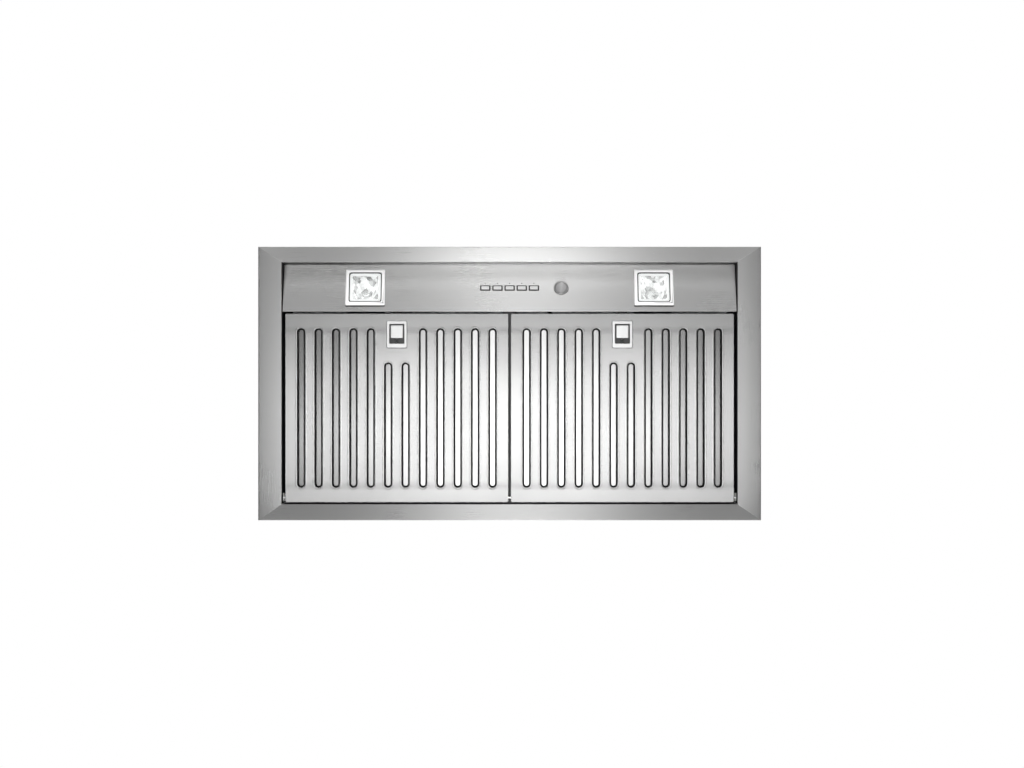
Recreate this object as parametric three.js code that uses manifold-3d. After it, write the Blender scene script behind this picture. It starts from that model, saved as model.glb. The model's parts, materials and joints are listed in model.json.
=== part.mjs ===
// A built-in range hood insert: a folded steel liner with two baffle filters, two lights, five push
// buttons and a centrifugal blower. +Z is up, -Y is the cook's side, +X is the cook's right hand.
// The origin is the middle of the flange's lower face. All sizes are in millimetres.
import * as THREE from "three";
import { mergeVertices } from "three/addons/utils/BufferGeometryUtils.js";
import Module from "manifold-3d";

// Sheet metal and clearances
const seatGap = 0.3; // between two pieces that rest on each other
const bodySheet = 1.2;
const foldRadius = 3; // outside of a fold in the body sheet
const filterSheet = 0.8;
const blowerSheet = 1;
const mitreGap = 0.4; // seam between two flanges, along the flange
const past = 1; // how far a cutting shape runs past the face that it cuts

// Flange as seen from below, and the canopy box above it
const flangeLength = 873;
const flangeDepth = 475;
const sideFlange = 40;
const frontFlange = 26;
const rearFlange = 28;
const canopyHeight = 100;
const topReturn = 12; // fold at the top of each wall, which carries the top pan

// Screw holes in the side walls
const wallHoleRadius = 3;
const wallHoleSpacing = 240;
const wallHoleHeight = 70;

// Filters
const faceRecess = 3; // filter faces and the panel's rear edge sit this far above the flange's face
const filterThickness = 19;
const filterCentreGap = 4;
const filterSideGap = 6.5; // to the side walls
const filterRearGap = 3;
const filterCorner = 3;
const filterEdge = 2.5;
const slotCount = 12;
const slotEndMargin = 27.625; // from a filter's side edge to the middle of its first slot
const slotClear = 9;
const slotMargin = 25; // from the filter's front and rear edges to a slot's lip
const shortSlotMargin = 84.5; // the two slots behind the latch start here
const lipRadius = 2.85;
const lipRise = 5;
const rearSlotClear = 12;
const rearCollar = 5;
const rearBaffleHeight = 14; // from the filter's face to the rear baffle
const hingePinRadius = 2;
const hingePinInset = 8.5; // from the filter's rear edge
const hingePinHeight = 6.5; // above the filter's face
const hingePinClearance = 0.3;
const pinEndGap = 0.4; // between the two pins' ends in the centre rail's ear
const pinBeyondEar = 1;

// Latch of each filter
const latchLength = 35;
const latchDepth = 46.5;
const latchMargin = 13; // from the filter's front edge
const latchPlate = 1.5;
const latchCorner = 2;
const latchRound = 0.6; // of the frame's face
const windowCorner = 1;
const latchCollar = 1;
const latchCollarHeight = 3.5;
const latchWindowLength = 26;
const latchWindowDepth = 34.4;
const latchWindowOffset = 1.25; // of the window from the frame's middle, towards the front
const catchLength = 21.4;
const catchDepth = 22.4;
const catchFrontGap = 2.4;
const catchRecess = 0.8; // below the latch frame's own face
const catchTravel = 8;
const catchRound = 1;
const carriageHeight = 5.5; // above the filter's face
const carriageThickness = 2.5;
const carriageSide = 3.5; // what the carriage has beyond the catch on each side
const boltLength = 16;
const boltReach = 3.3; // beyond the filter's front edge
const boltNose = 1; // the bolt's square edge above its bevel
const guideWall = 1;
const guideHeight = 12.2; // above the filter's face
const guideSideClearance = 1;
const springRadius = 2.2;
const springWire = 0.35;
const springTurns = 6;
const springLength = 17;

// Control panel
const panelGap = 4; // to the filters
const panelFrontGap = 3.5;
const panelEndGap = 3.5;
const panelTilt = THREE.MathUtils.degToRad(24);
const panelFold = 2.5;
const panelTopLip = 12;
const panelFrontReturn = 18;
const bezelMargin = 10.9; // between a light's bezel and the panel's front and rear folds
const cutoutCorner = 1.5;

// Lights
const lightEndDistance = 141.5; // from a light's middle to the end of the panel
const bezelSize = 68.5;
const bezelHeight = 5;
const bezelChamfer = 2.2;
const bezelCorner = 1.2;
const bezelBorder = 5.55;
const bezelCollar = 0.9;
const bezelCollarHeight = 7;
const glassGap = 1.7; // to the bezel's opening
const glassThickness = 3;
const glassChamfer = 0.8;
const glassRecess = 1.2;
const reflectorDepth = 24;
const reflectorThroat = 18;
const lampRadius = 4.5;
const lampLength = 19;
const lightBoxInset = 0.25; // from the bezel's outline
const lightBoxHeight = 38;
const lightBoxCorner = 4;
const lightBoxBevel = 2;
const lightBoxClearance = 1; // in the lip of the control panel
const lampHolderSize = 14;
const lampHolderHeight = 9;
const lampHolderCorner = 2;
const lampShoulder = 0.5;

// Push buttons
const buttonCount = 5;
const buttonPitch = 21.2;
const buttonLength = 13.8;
const buttonWidth = 5.8;
const buttonProud = 2.5;
const buttonDepth = 4;
const buttonCorner = 1;
const buttonRound = 0.6; // of the cap's face
const buttonTravel = 2.5;
const buttonStemLength = 6;
const buttonStemWidth = 3;
const buttonStemDepth = 8;
const buttonCutoutLength = 17.4;
const buttonCutoutWidth = 10.2;
const buttonClearance = 0.5;
const switchBodyWidth = 30;
const switchBodyHeight = 20;
const switchBodyMargin = 12;
const switchBodyBevel = 1;
const switchBodyCorner = 2;

// Round disc beside the buttons
const discOffset = 90;
const discRadius = 13;
const discThickness = 2;
const discStep = 0.5; // depth of the dish inside the disc's rim
const discRim = 2;

// Rail and hinge brackets
const railWidth = 24;
const railHeight = 16;
const railClearance = 4; // above the filters
const earDepth = 14;
const earBelowPin = 4.5;
const bracketWidth = 4.4;
const bracketHeight = 26;

// Blower box
const blowerOffset = 10; // from the origin, towards the rear
const blowerBoxLength = 330;
const blowerBoxDepth = 260;
const blowerBoxHeight = 180;
const blowerBoxFlange = 14;
const blowerBoxCorner = 4;
const blowerBoxBevel = 2;
const serviceWindowLength = 260;
const serviceWindowHeight = 130;
const serviceOverlap = 14;
const coverBead = 3; // slope round the cover's raised middle
const coverRaise = 2;
const coverCorner = 4;
const panOpeningLength = 290;
const panOpeningDepth = 220;
const panRim = 8;
const panCorner = 6;

// Scroll, wheel and motor
const wheelRadius = 66;
const wheelLength = 112;
const bladeCount = 24;
const bladeChord = 8.5;
const bladeThickness = 0.9;
const wheelRing = 2;
const wheelPlate = 1.6;
const bladeLeads = [0, 3, 9]; // degrees that a blade leads by, from its inner edge to its outer one
const hubRadius = 11;
const hubHalf = 7;
const scrollSideClearance = 5;
const scrollTongueAngle = 70;
const scrollTongueRadius = 73;
const scrollEndRadius = 104;
const scrollBottomClearance = 4;
const inletRadius = 52;
const inletRingOuter = 64;
const inletHoleClearance = 6; // from the ring's throat to the hole behind it
const bellRadius = 4;
const bellLip = 1.5;
const shaftRadius = 4;
const shaftClearance = 0.5;
const shaftBeyondNut = 3;
const shaftInsideBoss = 4; // the shaft ends this far inside the motor's far boss
const nutHeight = 4.5;
const motorRadius = 36;
const motorLength = 78;
const motorWheelGap = 12; // from the wheel's middle plate to the motor
const motorBoss = 14;
const motorBossHeight = 4;
const motorShoulder = 6;
const motorSegments = 18; // facets round the motor and its band
const bandWidth = 12;
const bandThickness = 1.6;
const armWidth = 12;
const armStandoff = 2; // from the inlet ring to the arms
const armFootGap = 3; // from the inlet ring's edge to a foot
const armFootLength = 6;

// Duct collar and damper
const ductRadius = 75;
const ductOffset = 49.5; // from the origin, towards the rear
const ductHeight = 45;
const ductFlange = 14;
const damperHeight = 14; // pin above the box's top
const damperGap = 2; // flap to the collar's wall
const damperPinRadius = 2;
const damperStop = 4;
const knuckleRadius = 3.2;
const knuckleLength = 8;
const knuckleOffsets = { rear: 42, front: 28 }; // of each flap's knuckles from the collar's middle

// Electrical pieces
const junctionLength = 90;
const junctionDepth = 70;
const junctionHeight = 45;
const junctionX = 250;
const junctionY = -60;
const junctionWall = 1.2;
const junctionCorner = 3;
const coverRim = 6;
const bushingRadius = 14;
const bushingBore = 10;
const bushingLength = 12;
const driverLength = 120;
const driverDepth = 42;
const driverHeight = 28;
const driverBevel = 2;
const cableRadius = 2.5;
const cableRunHeight = 95; // of the switch cable, under the top pan
const cableHoleRadius = 6;
const cableExit = 8; // straight stretch where a cable leaves a piece
const lampCableTurn = 45; // from a light's middle to the cable's turn

// Places that follow from the sizes above
const openHalfX = flangeLength / 2 - sideFlange;
const openFront = frontFlange - flangeDepth / 2;
const openRear = flangeDepth / 2 - rearFlange;
const panelFront = openFront + panelFrontGap;
const panelRear = panelFront + (bezelSize + 2 * bezelMargin) * Math.cos(panelTilt);
const filterRear = openRear - filterRearGap;
const filterFront = panelRear + panelGap;
const filterDepth = filterRear - filterFront;
const filterLength = openHalfX - filterSideGap - filterCentreGap / 2;
const slotPitch = (filterLength - 2 * slotEndMargin) / (slotCount - 1);
const filterMiddle = (filterFront + filterRear) / 2;
const filterTop = faceRecess + filterThickness;
const filterX = (filterCentreGap + filterLength) / 2;
const hingeY = filterRear - hingePinInset;
const hingeZ = faceRecess + hingePinHeight;
const panelMiddle = (panelFront + panelRear) / 2;
const panelRise = (panelRear - panelFront) * Math.tan(panelTilt);
const panelRearReturn = filterThickness + railClearance - seatGap; // the centre rail rests on its lip
const lightOffset = openHalfX - panelEndGap - lightEndDistance;
const bezelOpening = bezelSize - 2 * bezelBorder;
const glassSize = bezelOpening - 2 * glassGap;
const lightBoxSize = bezelSize - 2 * lightBoxInset;
const panTop = canopyHeight + seatGap + bodySheet;
const boxBase = panTop + seatGap;
const boxTop = boxBase + blowerBoxHeight;
const sides = [["left", -1], ["right", 1]];

// Finishes
const finishes = {
  brushedSteel: { color: 0xb9b9b8, metalness: 1, roughness: 0.34 },
  filterSteel: { color: 0xc4c4c3, metalness: 1, roughness: 0.28 },
  polishedSteel: { color: 0xe4e4e4, metalness: 1, roughness: 0.12 },
  galvanised: { color: 0xa9adb0, metalness: 1, roughness: 0.45 },
  castAluminium: { color: 0x9c9fa1, metalness: 1, roughness: 0.5 },
  whitePlastic: { color: 0xf0f0ee, metalness: 0, roughness: 0.4 },
  darkPlastic: { color: 0x2a2b2c, metalness: 0, roughness: 0.55 },
  clearGlass: { color: 0xf3f6f6, metalness: 0, roughness: 0.08, transparent: true, opacity: 0.4 },
  springSteel: { color: 0x8d9093, metalness: 1, roughness: 0.3 },
};
const materials = Object.fromEntries(
  Object.entries(finishes).map(([name, look]) => [name, new THREE.MeshStandardMaterial(look)]),
);

const wasm = await Module();
wasm.setup();
const root = new THREE.Group();

// Turns a closed geometry into a solid that can be joined and cut.
function solid(geometry) {
  const bare = geometry.clone();
  bare.deleteAttribute("normal");
  bare.deleteAttribute("uv");
  const merged = mergeVertices(bare, 1e-4);
  const corners = merged.index.array;
  const kept = [];
  for (let i = 0; i < corners.length; i += 3) {
    const [a, b, c] = [corners[i], corners[i + 1], corners[i + 2]];
    if (a !== b && b !== c && a !== c) kept.push(a, b, c);
  }
  const mesh = new wasm.Mesh({
    numProp: 3,
    vertProperties: merged.attributes.position.array,
    triVerts: new Uint32Array(kept),
  });
  return new wasm.Manifold(mesh);
}

function join(...solids) {
  return solids.reduce((all, next) => all.add(next));
}

function cut(body, ...tools) {
  return tools.reduce((left, tool) => left.subtract(tool), body);
}

// Adds a named mesh of a solid to a group.
function add(name, made, finish, parent = root) {
  const { vertProperties, triVerts } = made.getMesh();
  const indexed = new THREE.BufferGeometry();
  indexed.setAttribute("position", new THREE.BufferAttribute(Float32Array.from(vertProperties), 3));
  indexed.setIndex(new THREE.BufferAttribute(Uint32Array.from(triVerts), 1));
  const geometry = indexed.toNonIndexed();
  geometry.computeVertexNormals();
  const mesh = new THREE.Mesh(geometry, materials[finish]);
  mesh.name = name;
  parent.add(mesh);
  return mesh;
}

function group(x, y, z, parent = root) {
  const made = new THREE.Group();
  made.position.set(x, y, z);
  parent.add(made);
  return made;
}

function box(x0, x1, y0, y1, z0, z1) {
  const geometry = new THREE.BoxGeometry(x1 - x0, y1 - y0, z1 - z0);
  return solid(geometry.translate((x0 + x1) / 2, (y0 + y1) / 2, (z0 + z1) / 2));
}

function point(x, y) {
  return new THREE.Vector2(x, y);
}

// Extrudes an outline along one axis. Its two coordinates are (y, z) along X, (x, z) along Y and
// (x, y) along Z.
const extrusionAxes = {
  x: [new THREE.Vector3(0, 1, 0), new THREE.Vector3(0, 0, 1), new THREE.Vector3(1, 0, 0)],
  y: [new THREE.Vector3(1, 0, 0), new THREE.Vector3(0, 0, 1), new THREE.Vector3(0, -1, 0)],
  z: [new THREE.Vector3(1, 0, 0), new THREE.Vector3(0, 1, 0), new THREE.Vector3(0, 0, 1)],
};
function prism(axis, outline, from, to) {
  const geometry = new THREE.ExtrudeGeometry(new THREE.Shape(outline), {
    depth: to - from,
    bevelEnabled: false,
    curveSegments: 8,
  });
  geometry.translate(0, 0, axis === "y" ? -to : from);
  return solid(geometry.applyMatrix4(new THREE.Matrix4().makeBasis(...extrusionAxes[axis])));
}

// Revolves a closed profile of [radius, along] points about the X or Z axis.
function revolve(axis, profile, segments) {
  const points = profile.map(([radius, along]) => point(radius, along));
  if (THREE.ShapeUtils.area(points) < 0) points.reverse();
  const geometry = new THREE.LatheGeometry([...points, points[0]], segments);
  if (axis === "x") geometry.rotateZ(-Math.PI / 2);
  else geometry.rotateX(Math.PI / 2);
  return solid(geometry);
}

function disc(axis, radius, from, to, segments = 16) {
  const profile = [[0, from], [radius, from], [radius, to], [0, to]];
  return revolve(axis, profile, segments);
}

// One ring of a rounded rectangle at height z, counter-clockwise.
function roundedRing(halfX, halfY, corner, z, steps) {
  const ring = [];
  for (let quarter = 0; quarter < 4; quarter++) {
    const signX = quarter === 0 || quarter === 3 ? 1 : -1;
    const signY = quarter < 2 ? 1 : -1;
    for (let i = 0; i <= steps; i++) {
      const angle = (Math.PI / 2) * (quarter + i / steps);
      const x = signX * (halfX - corner) + corner * Math.cos(angle);
      const y = signY * (halfY - corner) + corner * Math.sin(angle);
      ring.push(new THREE.Vector3(x, y, z));
    }
  }
  return ring;
}

// A closed solid lofted through convex rings of equal count, from the lowest to the highest.
function loft(rings) {
  const count = rings[0].length;
  const index = [];
  for (let level = 0; level + 1 < rings.length; level++) {
    for (let i = 0; i < count; i++) {
      const next = (i + 1) % count;
      const [a, b] = [level * count + i, level * count + next];
      index.push(a, b, b + count, a, b + count, a + count);
    }
  }
  const top = (rings.length - 1) * count;
  for (let i = 1; i + 1 < count; i++) index.push(0, i + 1, i, top, top + i, top + i + 1);
  const geometry = new THREE.BufferGeometry().setFromPoints(rings.flat());
  return solid(geometry.setIndex(index));
}

// A rounded block whose levels are [inset, height] pairs, from the lowest to the highest.
function block(halfX, halfY, corner, levels, steps = 2) {
  const least = 0.2;
  return loft(
    levels.map(([inset, z]) =>
      roundedRing(halfX - inset, halfY - inset, Math.max(corner - inset, least), z, steps),
    ),
  );
}

// A tray open at the top whose lower edge is rounded.
function tray(halfX, halfY, base, top, corner, edge, wall) {
  const steps = 3;
  const levels = (radius, from, to) => {
    const made = [];
    for (let i = 0; i <= steps; i++) {
      const angle = (Math.PI / 2) * (i / steps);
      made.push([radius * (1 - Math.sin(angle)), from + radius * (1 - Math.cos(angle))]);
    }
    return [...made, [0, to]];
  };
  const outside = block(halfX, halfY, corner, levels(edge, base, top));
  const inside = block(
    halfX - wall,
    halfY - wall,
    corner - wall,
    levels(edge - wall, base + wall, top + 1),
  );
  return cut(outside, inside);
}

// The section of a folded sheet. face is one face of it as a polyline with sharp corners, and side says
// whether the metal is on the left (1) or the right (-1) of the way along it.
function foldedSection(face, side, thickness, radius, steps = 3) {
  const near = [];
  const far = [];
  const put = (at, normal) => {
    near.push(at);
    far.push(at.clone().addScaledVector(normal, side * thickness));
  };
  face.forEach((corner, i) => {
    const into = i > 0 ? corner.clone().sub(face[i - 1]).normalize() : null;
    const out = i + 1 < face.length ? face[i + 1].clone().sub(corner).normalize() : null;
    const way = into ?? out;
    const normal = point(-way.y, way.x);
    if (!into || !out) {
      put(corner, normal);
      return;
    }
    const turn = Math.atan2(into.cross(out), into.dot(out));
    const hand = Math.sign(turn);
    const bend = hand === side ? radius : radius - thickness;
    const start = corner.clone().addScaledVector(into, -bend * Math.tan(Math.abs(turn) / 2));
    const centre = start.clone().addScaledVector(normal, hand * bend);
    for (let step = 0; step <= steps; step++) {
      const turned = normal.clone().rotateAround(point(0, 0), (turn * step) / steps);
      put(centre.clone().addScaledVector(turned, -hand * bend), turned);
    }
  });
  return [...near, ...far.reverse()];
}

// A ring of the given section carried round a slot: each section point is [out from the slot's middle, up].
function slotRing(section, straight, steps) {
  const points = section.map(([out, up]) => point(out, up));
  if (THREE.ShapeUtils.area(points) < 0) points.reverse();
  const vertices = [];
  for (const end of [1, -1]) {
    for (let i = 0; i <= steps; i++) {
      const angle = Math.PI * (i / steps + (end < 0 ? 1 : 0));
      for (const p of points) {
        const along = p.x * Math.sin(angle) + (end * straight) / 2;
        vertices.push(new THREE.Vector3(p.x * Math.cos(angle), along, p.y));
      }
    }
  }
  const [stations, count] = [2 * (steps + 1), points.length];
  const index = [];
  for (let s = 0; s < stations; s++) {
    for (let k = 0; k < count; k++) {
      const here = s * count;
      const there = ((s + 1) % stations) * count;
      const next = (k + 1) % count;
      index.push(here + k, there + k, there + next, here + k, there + next, here + next);
    }
  }
  return solid(new THREE.BufferGeometry().setFromPoints(vertices).setIndex(index));
}

// The outline of a slot with round ends.
function slotOutline(half, straight, steps) {
  const outline = [];
  for (const end of [1, -1]) {
    for (let i = 0; i <= steps; i++) {
      const angle = Math.PI * (i / steps + (end < 0 ? 1 : 0));
      outline.push(point(half * Math.cos(angle), half * Math.sin(angle) + (end * straight) / 2));
    }
  }
  return outline;
}

function tube(route, radius, steps, sides) {
  const curve = new THREE.CatmullRomCurve3(route.map((p) => new THREE.Vector3(...p)));
  const section = new THREE.Shape();
  section.absarc(0, 0, radius, 0, 2 * Math.PI);
  return solid(
    new THREE.ExtrudeGeometry(new THREE.Shape(section.getPoints(sides).slice(0, sides)), {
      steps,
      extrudePath: curve,
      bevelEnabled: false,
    }),
  );
}

// A body panel: a flange outwards, a fold, a wall up and a return inwards, mitred to its neighbours.
// u is measured outwards from the opening's edge, and the panel runs from startAt(u) to endAt(u).
function bodyPanel(flangeWidth, startAt, endAt, place) {
  const wallTop = canopyHeight - bodySheet;
  const face = [point(flangeWidth, 0), point(0, 0), point(0, wallTop), point(-topReturn, wallTop)];
  const section = new THREE.Shape(foldedSection(face, -1, bodySheet, foldRadius));
  const geometry = new THREE.ExtrudeGeometry(section, { depth: 1, bevelEnabled: false });
  const at = geometry.attributes.position;
  for (let i = 0; i < at.count; i++) {
    const u = at.getX(i);
    const along = at.getZ(i) < 0.5 ? startAt(u) + mitreGap / 2 : endAt(u) - mitreGap / 2;
    at.setXYZ(i, ...place(u, along, at.getY(i)));
  }
  return solid(geometry);
}

function buildBody() {
  const frontSlope = sideFlange / frontFlange;
  const rearSlope = sideFlange / rearFlange;
  const frontPanel = bodyPanel(
    frontFlange,
    (u) => -openHalfX - u * frontSlope,
    (u) => openHalfX + u * frontSlope,
    (u, along, w) => [-along, openFront - u, w],
  );
  const rearPanel = bodyPanel(
    rearFlange,
    (u) => -openHalfX - u * rearSlope,
    (u) => openHalfX + u * rearSlope,
    (u, along, w) => [along, openRear + u, w],
  );
  add("front_panel", frontPanel, "brushedSteel");
  add("rear_panel", rearPanel, "brushedSteel");
  const frontEnd = (u) => openFront - u / frontSlope;
  const rearEnd = (u) => openRear + u / rearSlope;
  for (const [name, side] of sides) {
    const panel = bodyPanel(
      sideFlange,
      (u) => (side > 0 ? -rearEnd(u) : frontEnd(u)),
      (u) => (side > 0 ? -frontEnd(u) : rearEnd(u)),
      (u, along, w) => [side * (openHalfX + u), -side * along, w],
    );
    const hole = disc("x", wallHoleRadius, -2 * bodySheet, 2 * bodySheet, 10);
    const holes = [-1, 1].map((end) =>
      hole.translate([side * openHalfX, (end * wallHoleSpacing) / 2, wallHoleHeight]),
    );
    add(`${name}_panel`, cut(panel, ...holes), "brushedSteel");
  }

  // Top pan: a plate on the walls' returns, with a rimmed opening under the blower box.
  const panBase = canopyHeight + seatGap;
  const [halfX, halfY] = [panOpeningLength / 2, panOpeningDepth / 2];
  const opening = block(halfX, halfY, panCorner, [[0, panBase - past], [0, panTop + panRim + past]]);
  const rim = block(halfX + bodySheet, halfY + bodySheet, panCorner + bodySheet, [
    [0, panBase],
    [0, panTop + panRim],
  ]);
  const plate = box(-openHalfX, openHalfX, openFront, openRear, panBase, panTop);
  const cableHole = disc("z", cableHoleRadius, panBase - past, panTop + past, 12);
  const pan = cut(
    join(plate, rim.translate([0, blowerOffset, 0])),
    opening.translate([0, blowerOffset, 0]),
    cableHole.translate([junctionX, junctionY, 0]),
  );
  add("top_pan", pan, "galvanised");
}

// The control panel's own frame: x to the right, y down its slope towards the filters, z up through it.
const panelFrame = group(0, panelMiddle, faceRecess + panelRise / 2);
panelFrame.rotation.x = -panelTilt;

function buildControlPanel() {
  const halfLength = openHalfX - panelEndGap;
  const face = [
    point(panelRear - panelTopLip, faceRecess + panelRearReturn),
    point(panelRear, faceRecess + panelRearReturn),
    point(panelRear, faceRecess),
    point(panelFront, faceRecess + panelRise),
    point(panelFront, faceRecess + panelRise + panelFrontReturn),
    point(openFront + seatGap, faceRecess + panelRise + panelFrontReturn),
  ];
  const sheet = prism("x", foldedSection(face, -1, bodySheet, panelFold), -halfLength, halfLength);
  const cutouts = [];
  const through = [[0, -foldRadius], [0, foldRadius]];
  const lightHalf = bezelOpening / 2 + bezelCollar + seatGap;
  for (const [, side] of sides) {
    cutouts.push(block(lightHalf, lightHalf, foldRadius, through).translate([side * lightOffset, 0, 0]));
  }
  const buttonCutout = block(buttonCutoutLength / 2, buttonCutoutWidth / 2, cutoutCorner, through);
  for (let i = 0; i < buttonCount; i++) cutouts.push(buttonCutout.translate([buttonX(i), 0, 0]));
  panelFrame.updateMatrixWorld(true);
  const toWorld = panelFrame.matrixWorld.elements;
  const turned = cutouts.map((made) => made.transform(Array.from(toWorld)));
  const notchHalf = lightBoxSize / 2 + lightBoxClearance;
  const notch = box(
    -notchHalf,
    notchHalf,
    panelRear - panelTopLip - past,
    panelRear - bodySheet,
    faceRecess + panelRearReturn - panelFold,
    faceRecess + panelRearReturn + past,
  );
  const notches = sides.map(([, side]) => notch.translate([side * lightOffset, 0, 0]));
  add("control_panel", cut(sheet, ...turned, ...notches), "brushedSteel");
}

function buttonX(i) {
  return (i - (buttonCount - 1) / 2) * buttonPitch;
}

function buildButtons() {
  const switchBase = bodySheet + seatGap;
  const capFloor = buttonDepth + buttonTravel + buttonClearance;
  const halfLength = (buttonCount * buttonPitch) / 2 + switchBodyMargin;
  const stemEnd = buttonDepth + buttonStemDepth;
  let body = block(halfLength, switchBodyWidth / 2, switchBodyCorner, [
    [0, switchBase],
    [0, switchBase + switchBodyHeight - switchBodyBevel],
    [switchBodyBevel, switchBase + switchBodyHeight],
  ]);
  const capPocket = block(
    buttonLength / 2 + buttonClearance,
    buttonWidth / 2 + buttonClearance,
    buttonCorner,
    [[0, switchBase - past], [0, capFloor]],
    1,
  );
  const stemPocket = block(
    buttonStemLength / 2 + buttonClearance,
    buttonStemWidth / 2 + buttonClearance,
    buttonCorner / 2,
    [[0, capFloor - past], [0, stemEnd + buttonTravel + buttonClearance]],
    1,
  );
  const cap = block(
    buttonLength / 2,
    buttonWidth / 2,
    buttonCorner,
    [
      [buttonRound, -buttonProud],
      [buttonRound / 4, buttonRound / 2 - buttonProud],
      [0, 1.5 * buttonRound - buttonProud],
      [0, buttonDepth],
    ],
  );
  const stem = block(
    buttonStemLength / 2,
    buttonStemWidth / 2,
    buttonCorner / 2,
    [[0, buttonDepth - past], [0, stemEnd]],
    1,
  );
  const button = join(cap, stem);
  for (let i = 0; i < buttonCount; i++) {
    body = cut(body, join(capPocket, stemPocket).translate([buttonX(i), 0, 0]));
    add(`button_${i + 1}`, button, "whitePlastic", group(buttonX(i), 0, 0, panelFrame));
  }
  add("switch_body", body, "darkPlastic", panelFrame);
  const plainDisc = revolve(
    "z",
    [
      [0, -seatGap],
      [discRadius, -seatGap],
      [discRadius, -discThickness + discStep],
      [discRadius - discStep, -discThickness],
      [discRadius - discRim, -discThickness],
      [discRadius - discRim - discStep, -discThickness + discStep],
      [0, -discThickness + discStep],
    ],
    20,
  );
  add("plain_disc", plainDisc, "polishedSteel", group(discOffset, 0, 0, panelFrame));
}

function buildLight(name, side) {
  const frame = group(side * lightOffset, 0, 0, panelFrame);
  const half = bezelSize / 2;
  const openHalf = bezelOpening / 2;
  const flange = block(half, half, bezelCorner, [
    [bezelChamfer, -bezelHeight],
    [0, bezelChamfer - bezelHeight],
    [0, -seatGap],
  ]);
  const collar = block(openHalf + bezelCollar, openHalf + bezelCollar, foldRadius, [
    [0, -past],
    [0, bezelCollarHeight],
  ]);
  const opening = block(openHalf, openHalf, foldRadius, [
    [0, -bezelHeight - past],
    [0, bezelCollarHeight + past],
  ]);
  add(`light_${name}_bezel`, cut(join(flange, collar), opening), "polishedSteel", frame);

  const glassBase = glassRecess - bezelHeight;
  const glass = block(glassSize / 2, glassSize / 2, foldRadius, [
    [glassChamfer, glassBase],
    [0, glassBase + glassChamfer],
    [0, glassBase + glassThickness],
  ]);
  add(`light_${name}_glass`, glass, "clearGlass", frame);

  const mouthHalf = glassSize / 2;
  const throatHalf = reflectorThroat / 2;
  const reflectorBase = glassBase + glassThickness + seatGap;
  const reflectorTop = reflectorBase + reflectorDepth;
  const flareAt = (wall, over) => {
    const slope = (mouthHalf - throatHalf) / reflectorDepth;
    return [
      [wall - over * slope, reflectorBase - over],
      [mouthHalf - throatHalf + wall + over * slope, reflectorTop + over],
    ];
  };
  const shell = block(mouthHalf, mouthHalf, foldRadius, flareAt(0, 0));
  const hollow = block(mouthHalf, mouthHalf, foldRadius, flareAt(blowerSheet, past));
  add(`light_${name}_reflector`, cut(shell, hollow), "polishedSteel", frame);

  const boxHalf = lightBoxSize / 2;
  const boxFloor = bodySheet + seatGap;
  const boxLid = boxFloor + lightBoxHeight;
  const outside = block(boxHalf, boxHalf, lightBoxCorner, [
    [0, boxFloor],
    [0, boxLid - lightBoxBevel],
    [lightBoxBevel, boxLid],
  ]);
  const inside = block(boxHalf - blowerSheet, boxHalf - blowerSheet, lightBoxCorner - blowerSheet, [
    [0, boxFloor - past],
    [0, boxLid - blowerSheet - 0.75 * lightBoxBevel],
    [0.75 * lightBoxBevel, boxLid - blowerSheet],
  ]);
  const holderHalf = lampHolderSize / 2;
  const holderBase = boxLid - blowerSheet - lampHolderHeight;
  const holder = block(holderHalf, holderHalf, lampHolderCorner, [
    [0, holderBase],
    [0, boxLid - blowerSheet / 2],
  ]);
  add(`light_${name}_box`, join(cut(outside, inside), holder), "galvanised", frame);

  const lampTop = holderBase - seatGap;
  const lampTip = lampTop - lampLength;
  const lamp = revolve(
    "z",
    [
      [0, lampTop],
      [lampRadius - lampShoulder, lampTop],
      [lampRadius, lampTop - 4 * lampShoulder],
      [lampRadius, lampTip + lampRadius],
      [lampRadius * Math.SQRT1_2, lampTip + lampRadius * (1 - Math.SQRT1_2)],
      [0, lampTip],
    ],
    12,
  );
  add(`light_${name}_lamp`, lamp, "clearGlass", frame);
}

function buildRailAndBrackets() {
  const base = filterTop + railClearance;
  const half = railWidth / 2;
  const [front, rear] = [panelRear - panelTopLip, openRear - seatGap];
  const section = foldedSection(
    [point(-half, base), point(-half, base + railHeight), point(half, base + railHeight), point(half, base)],
    -1,
    bodySheet,
    foldRadius,
  );
  const ear = box(
    -bodySheet / 2,
    bodySheet / 2,
    hingeY - earDepth / 2,
    hingeY + earDepth / 2,
    hingeZ - earBelowPin,
    base + railHeight - bodySheet / 2,
  );
  const rail = join(prism("y", section, front, rear), ear);
  add("centre_rail", cut(rail, pinNotch(-half, half)), "brushedSteel");

  // Hinge brackets: a foot against the side wall, a web across the top and an ear down past the pin.
  const earBottom = hingeZ - earBelowPin;
  const bracketTop = earBottom + bracketHeight;
  for (const [name, side] of sides) {
    const wall = side * (openHalfX - seatGap);
    const ear = wall - side * bracketWidth;
    const face = [
      point(wall, bracketTop - bracketHeight / 2),
      point(wall, bracketTop),
      point(ear, bracketTop),
      point(ear, earBottom),
    ];
    const bent = prism(
      "y",
      foldedSection(face, side, bodySheet, bodySheet + seatGap),
      hingeY - earDepth / 2,
      hingeY + earDepth / 2,
    );
    const notch = pinNotch(Math.min(ear, wall) - past, Math.max(ear, wall) + past);
    add(`hinge_bracket_${name}`, cut(bent, notch), "brushedSteel");
  }
}

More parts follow.
